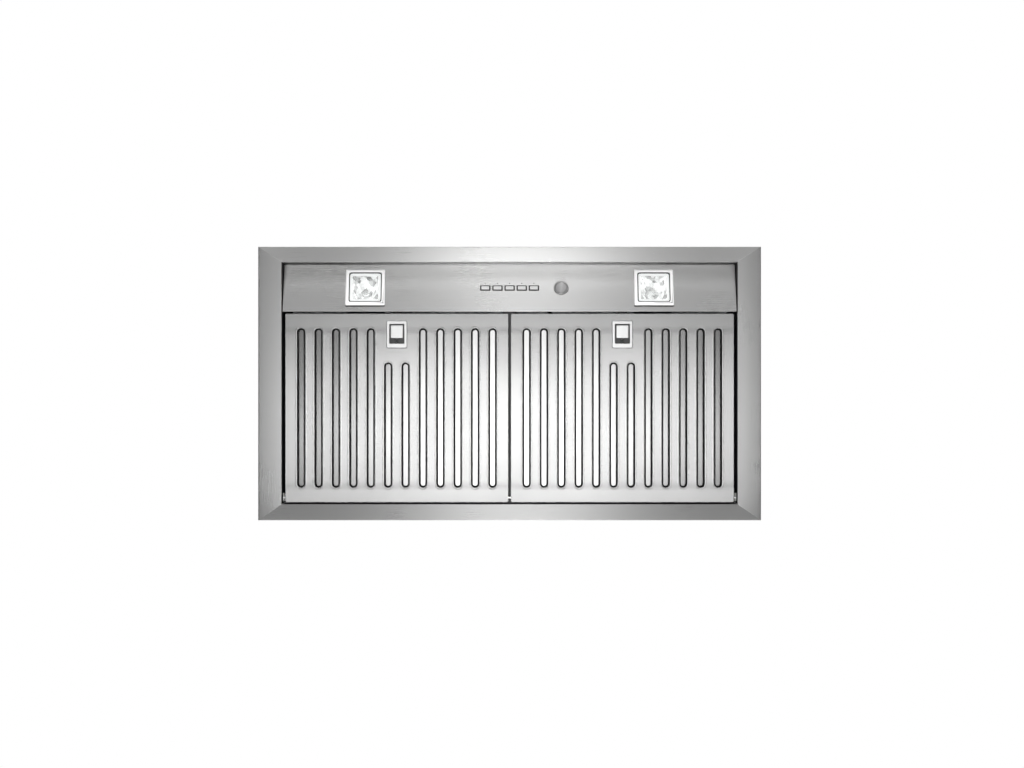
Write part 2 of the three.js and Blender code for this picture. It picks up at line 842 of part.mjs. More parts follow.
// The notch that a hinge pin drops into: in from the front, then down to the seat.
function pinNotch(from, to) {
  const radius = hingePinRadius + hingePinClearance;
  const lift = 2.5 * radius;
  const outline = [
    point(hingeY + radius, hingeZ + lift + radius),
    point(hingeY - earDepth, hingeZ + lift + radius),
    point(hingeY - earDepth, hingeZ + lift - radius),
    point(hingeY - radius, hingeZ + lift - radius),
  ];
  for (let i = 0; i <= 6; i++) {
    const angle = Math.PI * (1 + i / 6);
    outline.push(point(hingeY + radius * Math.cos(angle), hingeZ + radius * Math.sin(angle)));
  }
  return prism("x", outline, from, to);
}

// Slots of a baffle: their middles across the sheet, and their front and rear ends.
function slotRows(count, lipHalf, frontMargin) {
  const half = filterDepth / 2;
  return Array.from({ length: count }, (_, i) => {
    const offset = i - (count - 1) / 2;
    const behindLatch = Math.abs(offset) < 1;
    const from = (behindLatch ? shortSlotMargin : frontMargin) - half;
    const to = half - slotMargin;
    return { x: offset * slotPitch, y: (from + to) / 2, straight: to - from - 2 * lipHalf };
  });
}

// The front baffle: a shallow tray whose slots have their edges rolled inwards into lips.
function frontBaffle() {
  const [halfX, halfY] = [filterLength / 2, filterDepth / 2];
  const lipHalf = slotClear / 2 + lipRadius;
  const lap = 0.2;
  const endSteps = 4;
  const rolled = (radius, degrees) => {
    const angle = THREE.MathUtils.degToRad(degrees);
    return [lipHalf - radius * Math.sin(angle), lipRadius - radius * Math.cos(angle)];
  };
  const inner = lipRadius - filterSheet;
  const section = [
    [lipHalf + lap, 0],
    rolled(lipRadius, 45),
    rolled(lipRadius, 90),
    [slotClear / 2, lipRise],
    [slotClear / 2 + filterSheet, lipRise],
    rolled(inner, 45),
    [lipHalf + lap, filterSheet],
  ];
  let sheet = tray(halfX, halfY, 0, filterThickness, filterCorner, filterEdge, filterSheet);
  for (const { x, y, straight } of slotRows(slotCount, lipHalf, slotMargin)) {
    const hole = prism("z", slotOutline(lipHalf, straight, endSteps), -past, filterSheet + past);
    sheet = sheet.subtract(hole.translate([x, y, 0]));
    sheet = sheet.add(slotRing(section, straight, endSteps).translate([x, y, 0]));
  }
  const frameHole = latchCollar + seatGap;
  const latchHole = block(latchWindowLength / 2 + frameHole, latchWindowDepth / 2 + frameHole, latchCorner, [
    [0, -past],
    [0, filterSheet + past],
  ]);
  const pinHole = disc("x", hingePinRadius + hingePinClearance, -halfX - past, halfX + past, 10);
  return cut(
    sheet,
    latchHole.translate([0, windowY, 0]),
    boltWindow(-halfY - past, -halfY + 2 * filterSheet),
    pinHole.translate([0, halfY - hingePinInset, hingePinHeight]),
  );
}

// The rear baffle: a plate with a rim, nested in the front one. Its openings face the front one's strips,
// and their edges are folded down into collars that the grease runs off.
function rearBaffle() {
  const fit = filterSheet + seatGap;
  const [halfX, halfY] = [filterLength / 2 - fit, filterDepth / 2 - fit];
  const base = rearBaffleHeight;
  const corner = filterCorner - filterSheet;
  const plate = block(halfX, halfY, corner, [[0, base], [0, filterThickness]]);
  const inside = block(halfX - filterSheet, halfY - filterSheet, corner, [
    [0, base + filterSheet],
    [0, filterThickness + past],
  ]);
  let sheet = cut(plate, inside);
  const openHalf = rearSlotClear / 2;
  const collarHalf = openHalf + filterSheet;
  for (const { x, y, straight } of slotRows(slotCount - 1, openHalf, slotMargin)) {
    const half = straight / 2 + openHalf;
    const [from, to] = [y - half, y + half];
    const collar = box(
      x - collarHalf,
      x + collarHalf,
      from - filterSheet,
      to + filterSheet,
      base - rearCollar,
      base + filterSheet,
    );
    const opening = box(
      x - openHalf,
      x + openHalf,
      from,
      to,
      base - rearCollar - past,
      base + filterSheet + past,
    );
    sheet = cut(join(sheet, collar), opening);
  }
  return sheet;
}

// Latch places in a filter's own frame.
const latchY = latchMargin + (latchDepth - filterDepth) / 2;
const windowY = latchY - latchWindowOffset;
const catchFront = windowY - latchWindowDepth / 2 + catchFrontGap;
const catchRear = catchFront + catchDepth;
const springFloor = catchRear + 2 * seatGap + springLength;
const springHeight = carriageHeight + springRadius + springWire;

function boltWindow(from, to) {
  const clearance = 2 * seatGap;
  const half = boltLength / 2 + clearance;
  const top = carriageHeight + carriageThickness + clearance;
  return box(-half, half, from, to, carriageHeight - clearance, top);
}

function latchFrame() {
  const [halfX, halfY] = [latchWindowLength / 2, latchWindowDepth / 2];
  const face = -seatGap - latchPlate;
  const plate = block(latchLength / 2, latchDepth / 2, latchCorner, [
    [latchRound, face],
    [0, face + latchRound],
    [0, -seatGap],
  ]);
  const collar = block(halfX + latchCollar, halfY + latchCollar, windowCorner + latchCollar / 2, [
    [0, face + latchRound],
    [0, latchCollarHeight],
  ]);
  const window = block(halfX, halfY, windowCorner, [[0, face - past], [0, latchCollarHeight + past]]);
  return cut(
    join(plate.translate([0, latchY, 0]), collar.translate([0, windowY, 0])),
    window.translate([0, windowY, 0]),
  );
}

function latchCatch() {
  const face = catchRecess - seatGap - latchPlate;
  const top = carriageHeight + carriageThickness;
  const middle = (catchFront + catchRear) / 2;
  const knob = block(catchLength / 2, catchDepth / 2, 1.5 * catchRound, [
    [catchRound, face],
    [0.3 * catchRound, face + 0.3 * catchRound],
    [0, face + catchRound],
    [0, top - catchRound / 2],
  ]);
  const half = catchLength / 2 + carriageSide;
  const carriageFront = catchFront - carriageSide;
  const carriage = box(-half, half, carriageFront, catchRear, carriageHeight, top);
  const nose = -filterDepth / 2 - boltReach;
  const bevel = carriageThickness - boltNose;
  const root = carriageFront + seatGap;
  const bolt = prism(
    "x",
    [
      point(nose, top),
      point(nose, top - boltNose),
      point(nose + bevel, carriageHeight),
      point(root, carriageHeight),
      point(root, top),
    ],
    -boltLength / 2,
    boltLength / 2,
  );
  const lug = box(
    -springRadius,
    springRadius,
    catchRear - guideWall,
    catchRear,
    carriageHeight,
    springHeight + springRadius,
  );
  return join(knob.translate([0, middle, 0]), carriage, bolt, lug);
}

function latchGuide() {
  const inner = catchLength / 2 + carriageSide + guideSideClearance;
  const base = filterSheet + seatGap;
  const front = filterEdge - filterDepth / 2;
  const outer = inner + guideWall;
  const outside = box(-outer, outer, front, springFloor + guideWall, base, guideHeight);
  const inside = box(-inner, inner, front + guideWall, springFloor, base - past, guideHeight - guideWall);
  return cut(outside, inside, boltWindow(front - past, front + guideWall + past));
}

// The latch spring: a wire wound along Y.
class SpringCurve extends THREE.Curve {
  getPoint(t, target = new THREE.Vector3()) {
    const angle = 2 * Math.PI * springTurns * t;
    const along = springWire + t * (springLength - 2 * springWire);
    return target.set(springRadius * Math.cos(angle), along, springRadius * Math.sin(angle));
  }
}

function latchSpring() {
  const corners = 4;
  const section = Array.from({ length: corners }, (_, i) => {
    const angle = (2 * Math.PI * i) / corners;
    return point(springWire * Math.cos(angle), springWire * Math.sin(angle));
  });
  const wire = new THREE.ExtrudeGeometry(new THREE.Shape(section), {
    steps: springTurns * 6,
    extrudePath: new SpringCurve(),
    bevelEnabled: false,
  });
  return solid(wire).translate([0, catchRear + seatGap, springHeight]);
}

function buildFilters() {
  const shared = {
    front_baffle: [frontBaffle(), "filterSteel"],
    rear_baffle: [rearBaffle(), "filterSteel"],
    latch_frame: [latchFrame(), "polishedSteel"],
    latch_catch: [latchCatch(), "polishedSteel"],
    latch_guide: [latchGuide(), "galvanised"],
    latch_spring: [latchSpring(), "springSteel"],
  };
  const pinOuter = openHalfX - seatGap - bracketWidth + bodySheet + pinBeyondEar;
  for (const [name, side] of sides) {
    const frame = group(side * filterX, filterMiddle, faceRecess);
    for (const [piece, [made, finish]] of Object.entries(shared)) {
      add(`filter_${name}_${piece}`, made, finish, frame);
    }
    const ends = [side * (pinEndGap / 2), side * pinOuter].sort((a, b) => a - b);
    const pin = disc("x", hingePinRadius, ...ends, 10);
    add(`filter_${name}_hinge_pin`, pin.translate([0, hingeY, hingeZ]), "polishedSteel");
  }
}

// Scroll places. The tongue and the outlet's far side set where the axis lies under the duct.
const tongueAngle = THREE.MathUtils.degToRad(scrollTongueAngle);
const tongueY = scrollTongueRadius * Math.cos(tongueAngle);
const scrollY = ductOffset - (scrollEndRadius + tongueY) / 2;
const scrollZ = boxBase + scrollBottomClearance + blowerSheet + scrollRadius(1.5 * Math.PI);
const scrollHalf = wheelLength / 2 + scrollSideClearance;
const outletTop = boxTop - blowerSheet - seatGap - scrollZ;

function scrollRadius(angle) {
  const growth = (scrollEndRadius - scrollTongueRadius) / (2 * Math.PI - tongueAngle);
  return scrollTongueRadius + growth * (angle - tongueAngle);
}

function scrollOutline(grow, top) {
  const start = Math.acos((tongueY - grow) / (scrollTongueRadius + grow));
  const steps = 20;
  const outline = [];
  for (let i = 0; i <= steps; i++) {
    const angle = start + ((2 * Math.PI - start) * i) / steps;
    const radius = scrollRadius(angle) + grow;
    outline.push(point(radius * Math.cos(angle), radius * Math.sin(angle)));
  }
  return [...outline, point(scrollEndRadius + grow, top), point(tongueY - grow, top)];
}

function buildBlower() {
  const halfX = blowerBoxLength / 2;
  const halfY = blowerBoxDepth / 2;
  const shell = (inset, from, to) =>
    block(halfX - inset, halfY - inset, blowerBoxCorner - inset, [
      [0, from],
      [0, to - blowerBoxBevel],
      [0.3 * blowerBoxBevel, to - 0.3 * blowerBoxBevel],
      [blowerBoxBevel, to],
    ]);
  const lip = block(halfX + blowerBoxFlange, halfY + blowerBoxFlange, blowerBoxCorner, [
    [0, boxBase],
    [0, boxBase + blowerSheet],
  ]);
  const windowBase = boxBase + (blowerBoxHeight - serviceWindowHeight) / 2;
  const windowHalf = serviceWindowLength / 2;
  const serviceWindow = box(
    -windowHalf,
    windowHalf,
    -halfY - blowerSheet,
    -halfY + 2 * blowerSheet,
    windowBase,
    windowBase + serviceWindowHeight,
  );
  const mouth = disc("z", ductRadius - 2 * blowerSheet, boxTop - 5 * past, boxTop + past, 32);
  const boxShell = cut(
    join(shell(0, boxBase, boxTop), lip),
    shell(blowerSheet, boxBase - past, boxTop - blowerSheet),
    serviceWindow,
    mouth.translate([0, ductOffset - blowerOffset, 0]),
  );
  add("blower_box", boxShell.translate([0, blowerOffset, 0]), "galvanised");

  const coverHalfZ = serviceWindowHeight / 2 + serviceOverlap;
  const lapped = 0.01;
  const cover = block(windowHalf + serviceOverlap, coverHalfZ, coverCorner, [
    [0, 0],
    [0, blowerSheet],
    [serviceOverlap, blowerSheet + lapped],
    [serviceOverlap + coverBead, blowerSheet + coverRaise],
  ]);
  const coverY = blowerOffset - halfY - seatGap;
  const coverZ = boxBase + blowerBoxHeight / 2;
  add("blower_cover", cover.rotate([90, 0, 0]).translate([0, coverY, coverZ]), "galvanised");

  const axis = group(0, scrollY, scrollZ);
  const outline = scrollOutline(blowerSheet, outletTop);
  const wall = prism("x", outline, -scrollHalf - blowerSheet, scrollHalf);
  const space = prism("x", scrollOutline(0, outletTop + past), -scrollHalf, scrollHalf + past);
  const inlet = (from, to) => disc("x", inletRadius + inletHoleClearance, from, to, 32);
  const leftInlet = inlet(-scrollHalf - blowerSheet - past, 0);
  add("scroll_housing", cut(wall, space, leftInlet), "galvanised", axis);
  const plateBase = scrollHalf + seatGap;
  const plateEnd = plateBase + blowerSheet;
  const plate = prism("x", outline, plateBase, plateEnd);
  add("scroll_side_plate", cut(plate, inlet(plateBase - past, plateEnd + past)), "galvanised", axis);

  const ringBase = { left: scrollHalf + blowerSheet + seatGap, right: plateBase + blowerSheet + seatGap };
  for (const [name, side] of sides) {
    const outer = ringBase[name] + blowerSheet;
    const bell = foldedSection(
      [
        point(inletRingOuter, outer),
        point(inletRadius, outer),
        point(inletRadius, outer - bellRadius - bellLip),
      ],
      1,
      blowerSheet,
      bellRadius,
      2,
    );
    const ring = revolve("x", bell.map(({ x, y }) => [x, side * y]), 18);
    add(`inlet_ring_${name}`, ring, "galvanised", axis);
  }
  add("fan_wheel", fanWheel(), "castAluminium", axis);

  const shaftEnd = hubHalf + nutHeight + shaftBeyondNut;
  const shaftStart = -motorWheelGap - motorLength + shaftInsideBoss;
  const nut = disc("x", 1.8 * shaftRadius, hubHalf + seatGap, hubHalf + nutHeight, 6);
  add("fan_shaft", join(disc("x", shaftRadius, shaftStart, shaftEnd, 12), nut), "polishedSteel", axis);

  const near = -motorWheelGap;
  const far = near - motorLength;
  const bore = shaftRadius + shaftClearance;
  const bell = motorRadius - motorShoulder;
  const motor = revolve(
    "x",
    [
      [bore, near],
      [motorBoss, near],
      [motorBoss, near - motorBossHeight],
      [bell, near - motorBossHeight],
      [motorRadius, near - motorBossHeight - motorShoulder],
      [motorRadius, far + motorBossHeight + motorShoulder],
      [bell, far + motorBossHeight],
      [motorBoss, far + motorBossHeight],
      [motorBoss, far],
      [bore, far],
    ],
    motorSegments,
  );
  add("fan_motor", motor, "castAluminium", axis);
  add("motor_bracket", motorBracket(ringBase.left), "galvanised", axis);
}

// The double wheel: two end rings, a middle plate with a hub, and forward-curved blades between the rings.
function fanWheel() {
  const half = wheelLength / 2;
  const inner = wheelRadius - bladeChord;
  const ringInner = inner - seatGap;
  const ring = (from) =>
    revolve(
      "x",
      [
        [ringInner, from],
        [wheelRadius, from],
        [wheelRadius, from + wheelRing],
        [ringInner, from + wheelRing],
      ],
      bladeCount,
    );
  const plateHalf = wheelPlate / 2;
  const bore = shaftRadius + seatGap;
  const hub = revolve(
    "x",
    [
      [bore, -hubHalf],
      [hubRadius, -hubHalf],
      [hubRadius, -plateHalf],
      [inner + bladeChord / 2, -plateHalf],
      [inner + bladeChord / 2, plateHalf],
      [hubRadius, plateHalf],
      [hubRadius, hubHalf],
      [bore, hubHalf],
    ],
    16,
  );
  const curve = bladeLeads.map(THREE.MathUtils.degToRad);
  const side = (offset) =>
    curve.map((lead, i) => {
      const radius = inner + seatGap + ((bladeChord - 2 * seatGap) * i) / (curve.length - 1);
      const angle = lead + offset / radius;
      return point(radius * Math.cos(angle), radius * Math.sin(angle));
    });
  const outline = [...side(-bladeThickness / 2), ...side(bladeThickness / 2).reverse()];
  const blade = prism("x", outline, -half + wheelRing / 2, half - wheelRing / 2);
  const blades = Array.from({ length: bladeCount }, (_, i) => blade.rotate([(360 * i) / bladeCount, 0, 0]));
  return join(ring(-half), ring(half - wheelRing), hub, ...blades);
}

// A band round the motor and three arms that stand on the scroll's left side, clear of the inlet ring.
function motorBracket(ringBase) {
  const bandInner = motorRadius + seatGap;
  const bandOuter = bandInner + bandThickness;
  const armOut = -ringBase - blowerSheet - armStandoff;
  const armIn = armOut - bandThickness;
  const band = revolve(
    "x",
    [
      [bandInner, armOut],
      [bandOuter, armOut],
      [bandOuter, armOut - bandWidth],
      [bandInner, armOut - bandWidth],
    ],
    motorSegments,
  );
  const footInner = inletRingOuter + armFootGap;
  const footOuter = footInner + armFootLength;
  const half = armWidth / 2;
  const arm = box(armIn, armOut, -half, half, bandInner + bandThickness / 2, footOuter);
  const foot = box(armIn, -ringBase, -half, half, footInner, footOuter);
  const leg = join(arm, foot);
  return join(band, ...[0, 120, 240].map((turn) => leg.rotate([turn, 0, 0])));
}

function buildDuct() {
  const base = boxTop + seatGap;
  const inner = ductRadius - blowerSheet;
  const frame = group(0, ductOffset, 0);
  const pinZ = boxTop + damperHeight;
  const flapHalf = blowerSheet / 2;
  const section = foldedSection(
    [point(ductRadius + ductFlange, base), point(inner, base), point(inner, base + ductHeight)],
    -1,
    blowerSheet,
    foldRadius,
    2,
  );
  const segments = 26;
  const wall = revolve("z", section.map(({ x, y }) => [x, y]), segments);
  const stopTop = pinZ - flapHalf - seatGap;
  const stop = revolve(
    "z",
    [
      [inner - damperStop, stopTop - blowerSheet],
      [inner + blowerSheet / 2, stopTop - blowerSheet],
      [inner + blowerSheet / 2, stopTop],
      [inner - damperStop, stopTop],
    ],
    segments,
  );
  const bore = damperPinRadius + seatGap;
  const pinHole = disc("x", bore, -ductRadius - past, ductRadius + past, 10).translate([0, 0, pinZ]);
  add("duct_collar", cut(join(wall, stop), pinHole), "galvanised", frame);
  const pinHalf = ductRadius - seatGap;
  const pin = disc("x", damperPinRadius, -pinHalf, pinHalf, 10);
  add("damper_pin", pin.translate([0, 0, pinZ]), "polishedSteel", frame);

  const radius = inner - damperGap;
  const inset = knuckleRadius + seatGap;
  const start = Math.asin(inset / radius);
  const steps = 14;
  const outline = Array.from({ length: steps + 1 }, (_, i) => {
    const angle = start + ((Math.PI - 2 * start) * i) / steps;
    return point(radius * Math.cos(angle), radius * Math.sin(angle));
  });
  for (const [name, turn] of [["rear", 0], ["front", 180]]) {
    const plate = prism("z", outline, -flapHalf, flapHalf);
    const knuckles = [-knuckleOffsets[name], knuckleOffsets[name]].map((x) => {
      const [from, to] = [x - knuckleLength / 2, x + knuckleLength / 2];
      const tongue = box(from, to, knuckleRadius / 2, inset + past, -flapHalf, flapHalf);
      return join(disc("x", knuckleRadius, from, to, 12), tongue);
    });
    const flap = cut(join(plate, ...knuckles), disc("x", bore, -radius, radius, 12));
    add(`damper_flap_${name}`, flap.rotate([0, 0, turn]).translate([0, 0, pinZ]), "galvanised", frame);
  }
}

function buildElectrics() {
  const frame = group(junctionX, junctionY, 0);
  const [halfX, halfY] = [junctionLength / 2, junctionDepth / 2];
  const top = boxBase + junctionHeight;
  const outside = block(halfX, halfY, junctionCorner, [[0, boxBase], [0, top]]);
  const inside = block(halfX - junctionWall, halfY - junctionWall, junctionCorner - junctionWall, [
    [0, boxBase + junctionWall],
    [0, top + past],
  ]);
  const bushingZ = boxBase + junctionHeight / 2;
  const bushing = disc("x", bushingRadius, halfX - junctionWall / 2, halfX + bushingLength, 16);
  const bore = disc("x", bushingBore, halfX - 5 * past, halfX + bushingLength + past, 16);
  const cableHole = disc("z", cableHoleRadius, boxBase - past, boxBase + junctionWall + past, 12);
  const tub = cut(
    join(cut(outside, inside), bushing.translate([0, 0, bushingZ])),
    bore.translate([0, 0, bushingZ]),
    cableHole,
  );
  add("junction_box", tub, "galvanised", frame);
  const coverInner = seatGap;
  const coverOuter = coverInner + junctionWall;
  const coverBase = top - coverRim;
  const coverTop = top + seatGap;
  const lid = cut(
    block(halfX + coverOuter, halfY + coverOuter, junctionCorner + coverOuter, [
      [0, coverBase],
      [0, coverTop],
      [junctionWall, coverTop + junctionWall],
    ]),
    block(halfX + coverInner, halfY + coverInner, junctionCorner + coverInner, [
      [0, coverBase - past],
      [0, coverTop],
    ]),
  );
  add("junction_box_cover", lid, "galvanised", frame);

  const driverTop = canopyHeight;
  const driverY = openFront + topReturn + driverDepth / 2 + foldRadius;
  const driver = block(driverLength / 2, driverDepth / 2, 1.5 * driverBevel, [
    [driverBevel, driverTop - driverHeight],
    [0, driverTop - driverHeight + driverBevel],
    [0, driverTop],
  ]);
  add("light_driver", driver.translate([0, driverY, 0]), "whitePlastic");

  const driverZ = driverTop - driverHeight / 2;
  const boxLid = bodySheet + seatGap + lightBoxHeight + seatGap;
  for (const [name, side] of sides) {
    const end = side * (driverLength / 2 + seatGap);
    const route = [
      panelPoint(side * lightOffset, 0, boxLid),
      panelPoint(side * lightOffset, 0, boxLid + cableExit),
      [side * (lightOffset - lampCableTurn), driverY + 10, driverZ - 4],
      [end + side * 60, driverY, driverZ],
      [end + side * cableExit, driverY, driverZ],
      [end, driverY, driverZ],
    ];
    add(`lamp_cable_${name}`, tube(route, cableRadius, 16, 6), "darkPlastic");
  }
  const switchTop = bodySheet + seatGap + switchBodyHeight + seatGap;
  const switchX = buttonPitch * 2;
  const route = [
    panelPoint(switchX, 0, switchTop),
    panelPoint(switchX, 0, switchTop + cableExit),
    [70, panelMiddle + 41.75, cableRunHeight - 7],
    [110, panelMiddle + 61.75, cableRunHeight],
    [205, junctionY - 2, cableRunHeight],
    [junctionX - 6, junctionY, cableRunHeight + 1.5],
    [junctionX, junctionY, boxBase],
    [junctionX, junctionY, boxBase + junctionHeight / 2],
  ];
  add("switch_cable", tube(route, cableRadius, 20, 6), "darkPlastic");
}

function panelPoint(x, y, z) {
  return new THREE.Vector3(x, y, z).applyMatrix4(panelFrame.matrixWorld).toArray();
}

buildBody();
buildControlPanel();
buildButtons();
for (const [name, side] of sides) buildLight(name, side);
buildRailAndBrackets();
buildFilters();
buildBlower();
buildDuct();
buildElectrics();

export default root;
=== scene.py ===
import json
import math

import bmesh
import bpy
import numpy as np
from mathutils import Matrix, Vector
from mathutils.geometry import delaunay_2d_cdt

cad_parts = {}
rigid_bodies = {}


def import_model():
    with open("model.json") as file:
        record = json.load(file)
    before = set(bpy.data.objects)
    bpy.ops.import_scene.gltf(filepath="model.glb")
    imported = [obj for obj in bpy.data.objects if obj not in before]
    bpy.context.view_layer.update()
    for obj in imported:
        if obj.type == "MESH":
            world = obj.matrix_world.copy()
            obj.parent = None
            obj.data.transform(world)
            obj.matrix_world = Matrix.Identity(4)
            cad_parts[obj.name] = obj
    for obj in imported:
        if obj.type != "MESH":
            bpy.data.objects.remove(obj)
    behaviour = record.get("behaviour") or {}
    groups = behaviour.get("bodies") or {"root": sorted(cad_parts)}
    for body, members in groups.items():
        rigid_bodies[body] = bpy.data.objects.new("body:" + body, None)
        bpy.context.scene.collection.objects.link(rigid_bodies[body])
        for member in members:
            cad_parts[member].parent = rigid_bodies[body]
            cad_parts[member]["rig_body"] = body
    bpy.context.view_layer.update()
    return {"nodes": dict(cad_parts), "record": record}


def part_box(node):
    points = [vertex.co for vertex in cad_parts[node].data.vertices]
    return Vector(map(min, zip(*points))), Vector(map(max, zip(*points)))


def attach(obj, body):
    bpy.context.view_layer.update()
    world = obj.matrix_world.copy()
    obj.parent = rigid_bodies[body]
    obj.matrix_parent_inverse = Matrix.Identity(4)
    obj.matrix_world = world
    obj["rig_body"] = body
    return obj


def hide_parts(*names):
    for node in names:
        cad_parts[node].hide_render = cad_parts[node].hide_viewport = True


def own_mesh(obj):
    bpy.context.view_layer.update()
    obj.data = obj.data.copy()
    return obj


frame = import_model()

mm = 0.001  # shapes are worked out in millimetres, and Blender holds metres
sides = (("left", -1), ("right", 1))
nodes = frame["nodes"]
foldSteps = 8
flatHold = 0.3  # a flat stretch beside a bend, so that the face beyond it shades as flat
smallHold = 0.2  # the same beside a small bend
mergeWithin = 2e-6  # metres


def limits(node):  # lowest and highest corner of a CAD node, in millimetres
    low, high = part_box(node)
    return np.array(low) / mm, np.array(high) / mm


# the camera stands under the hood and looks straight up at its face
cameraShape = {"place": (0.0042, 0.0008, -4.94), "lens": 100, "sensor": 36, "reach": 200}
camera = bpy.data.objects.new("camera", bpy.data.cameras.new("camera"))
camera.data.lens = cameraShape["lens"]
camera.data.sensor_width = cameraShape["sensor"]
camera.data.clip_end = cameraShape["reach"]
camera.location = cameraShape["place"]
camera.rotation_euler = (math.pi, 0, 0)
bpy.context.scene.collection.objects.link(camera)
bpy.context.scene.camera = camera
bpy.context.scene.view_settings.view_transform = "Standard"
print("camera placed")


# which points lie in a loop: a line from such a point towards low x crosses the loop an odd number of times
def inside(points, loop):
    x, y = points[:, 0, None], points[:, 1, None]
    ax, ay = loop.T
    bx, by = np.roll(loop, -1, 0).T
    spans = (ay > y) != (by > y)
    rise = np.where(by == ay, 1, by - ay)
    return (spans & (x > ax + (bx - ax) * (y - ay) / rise)).sum(1) % 2 == 1


class Surface:  # points and faces that grow piece by piece
    def __init__(self):
        self.points = []
        self.faces = []
        self.count = 0

    def addPoints(self, points):
        first = self.count
        self.points.append(np.asarray(points, float).reshape(-1, 3))
        self.count += len(self.points[-1])
        return first

    # a grid of rows by columns of points, each cell one four-sided face
    def grid(self, points, closeRows=False, closeColumns=False, keep=None):
        rows, columns = points.shape[:2]
        first = self.addPoints(points)
        r = np.arange(rows if closeRows else rows - 1)[:, None]
        c = np.arange(columns if closeColumns else columns - 1)[None, :]
        r2 = (r + 1) % rows
        c2 = (c + 1) % columns
        cells = np.stack([r * columns + c, r * columns + c2, r2 * columns + c2, r2 * columns + c], 2)
        cells = cells if keep is None else cells[keep]
        self.faces += (cells.reshape(-1, 4) + first).tolist()

    def polygon(self, ring):  # one flat face with the ring as its edge
        first = self.addPoints(ring)
        self.faces.append(list(range(first, first + len(ring))))

    # the plane between an outline and the holes in it, as triangles; place turns (x, y) into a point
    def sheet(self, outline, holes, place):
        loops = [outline, *holes]
        starts = np.cumsum([0] + [len(loop) for loop in loops])
        edges = []
        for loop, start in zip(loops, starts):
            here = np.arange(len(loop))
            edges += (np.stack([here, (here + 1) % len(loop)], 1) + start).tolist()
        flat = delaunay_2d_cdt([Vector(p) for loop in loops for p in loop], edges, [], 1, 1e-5)
        points = np.array([tuple(v) for v in flat[0]])
        triangles = np.array(flat[2])
        middles = points[triangles].mean(1)
        for hole in holes:
            triangles = triangles[~inside(middles, np.array(hole))]
            middles = points[triangles].mean(1)
        first = self.addPoints(place(points))
        self.faces += (triangles + first).tolist()

    def add(self, other):
        first = self.addPoints(np.concatenate(other.points))
        self.faces += [[i + first for i in face] for face in other.faces]


def level(height):  # puts flat points at one height
    return lambda points: np.column_stack([points, np.full(len(points), height)])


def plan(ring):  # a ring of points seen from above, as a flat outline
    return ring[:, :2].tolist()


# path round a rectangle: the corners' centres, and the way out from them, in steps round each corner
def rectPath(halfX, halfY, steps):
    quarter = np.linspace(0, np.pi / 2, steps + 1)
    angle = (quarter[None] + np.arange(4)[:, None] * np.pi / 2).ravel()
    signX = np.repeat([1, -1, -1, 1], steps + 1)
    signY = np.repeat([1, 1, -1, -1], steps + 1)
    spine = np.stack([signX * halfX, signY * halfY], 1)
    return spine, np.stack([np.cos(angle), np.sin(angle)], 1)


# path round a slot: two half circles about the ends of its middle line
def slotPath(straight, steps):
    half = np.linspace(0, np.pi, steps + 1)
    angle = np.concatenate([half, half + np.pi])
    endY = np.repeat([straight / 2, -straight / 2], steps + 1)
    spine = np.stack([np.zeros_like(endY), endY], 1)
    return spine, np.stack([np.cos(angle), np.sin(angle)], 1)


# a profile carried round a path: each profile point is [way out from the path, height]
def carry(path, profile, centre=(0, 0)):
    spine, normal = path
    profile = np.asarray(profile, float)
    flat = spine[None] + profile[:, 0, None, None] * normal[None] + np.asarray(centre, float)
    height = np.broadcast_to(profile[:, 1, None, None], flat.shape[:2] + (1,))
    return np.concatenate([flat, height], 2)


# points on an arc: centre plus radius times (cos, sin) of an angle that goes from start to end
def arc(centre, radius, start, end, steps):
    angle = np.radians(np.linspace(start, end, steps + 1))
    return np.stack([centre[0] + radius * np.cos(angle), centre[1] + radius * np.sin(angle)], 1)


# a line through corners, with each corner rounded and a short flat stretch held on both sides of it
def foldLine(corners, radius):
    corners = [np.array(c, float) for c in corners]
    line = [corners[0][None]]
    for before, corner, after in zip(corners, corners[1:], corners[2:]):
        into = (corner - before) / np.linalg.norm(corner - before)
        out = (after - corner) / np.linalg.norm(after - corner)
        turn = math.atan2(into[0] * out[1] - into[1] * out[0], into @ out)
        normal = math.copysign(1, turn) * np.array([-into[1], into[0]])
        reach = radius * math.tan(abs(turn) / 2)
        start = corner - reach * into
        centre = start + radius * normal
        angle = np.linspace(0, abs(turn), foldSteps + 1)[:, None]
        bend = centre - radius * normal * np.cos(angle) + radius * into * np.sin(angle)
        line += [(start - flatHold * into)[None], bend, (corner + (reach + flatHold) * out)[None]]
    return np.concatenate(line + [corners[-1][None]])


# a profile of [radius, height] points turned about the z axis
def turned(profile, segments, centre=(0, 0, 0)):
    profile = np.asarray(profile, float)
    angle = np.linspace(0, 2 * np.pi, segments, endpoint=False)
    x = profile[:, 0, None] * np.cos(angle)[None]
    y = profile[:, 0, None] * np.sin(angle)[None]
    z = np.broadcast_to(profile[:, 1, None], x.shape)
    return np.stack((x, y, z), 2) + np.asarray(centre, float)


# rings of points joined side by side and closed by a flat face at both ends
def closedTube(surface, rings):
    surface.grid(rings, closeColumns=True)
    surface.polygon(rings[0][::-1])
    surface.polygon(rings[-1])


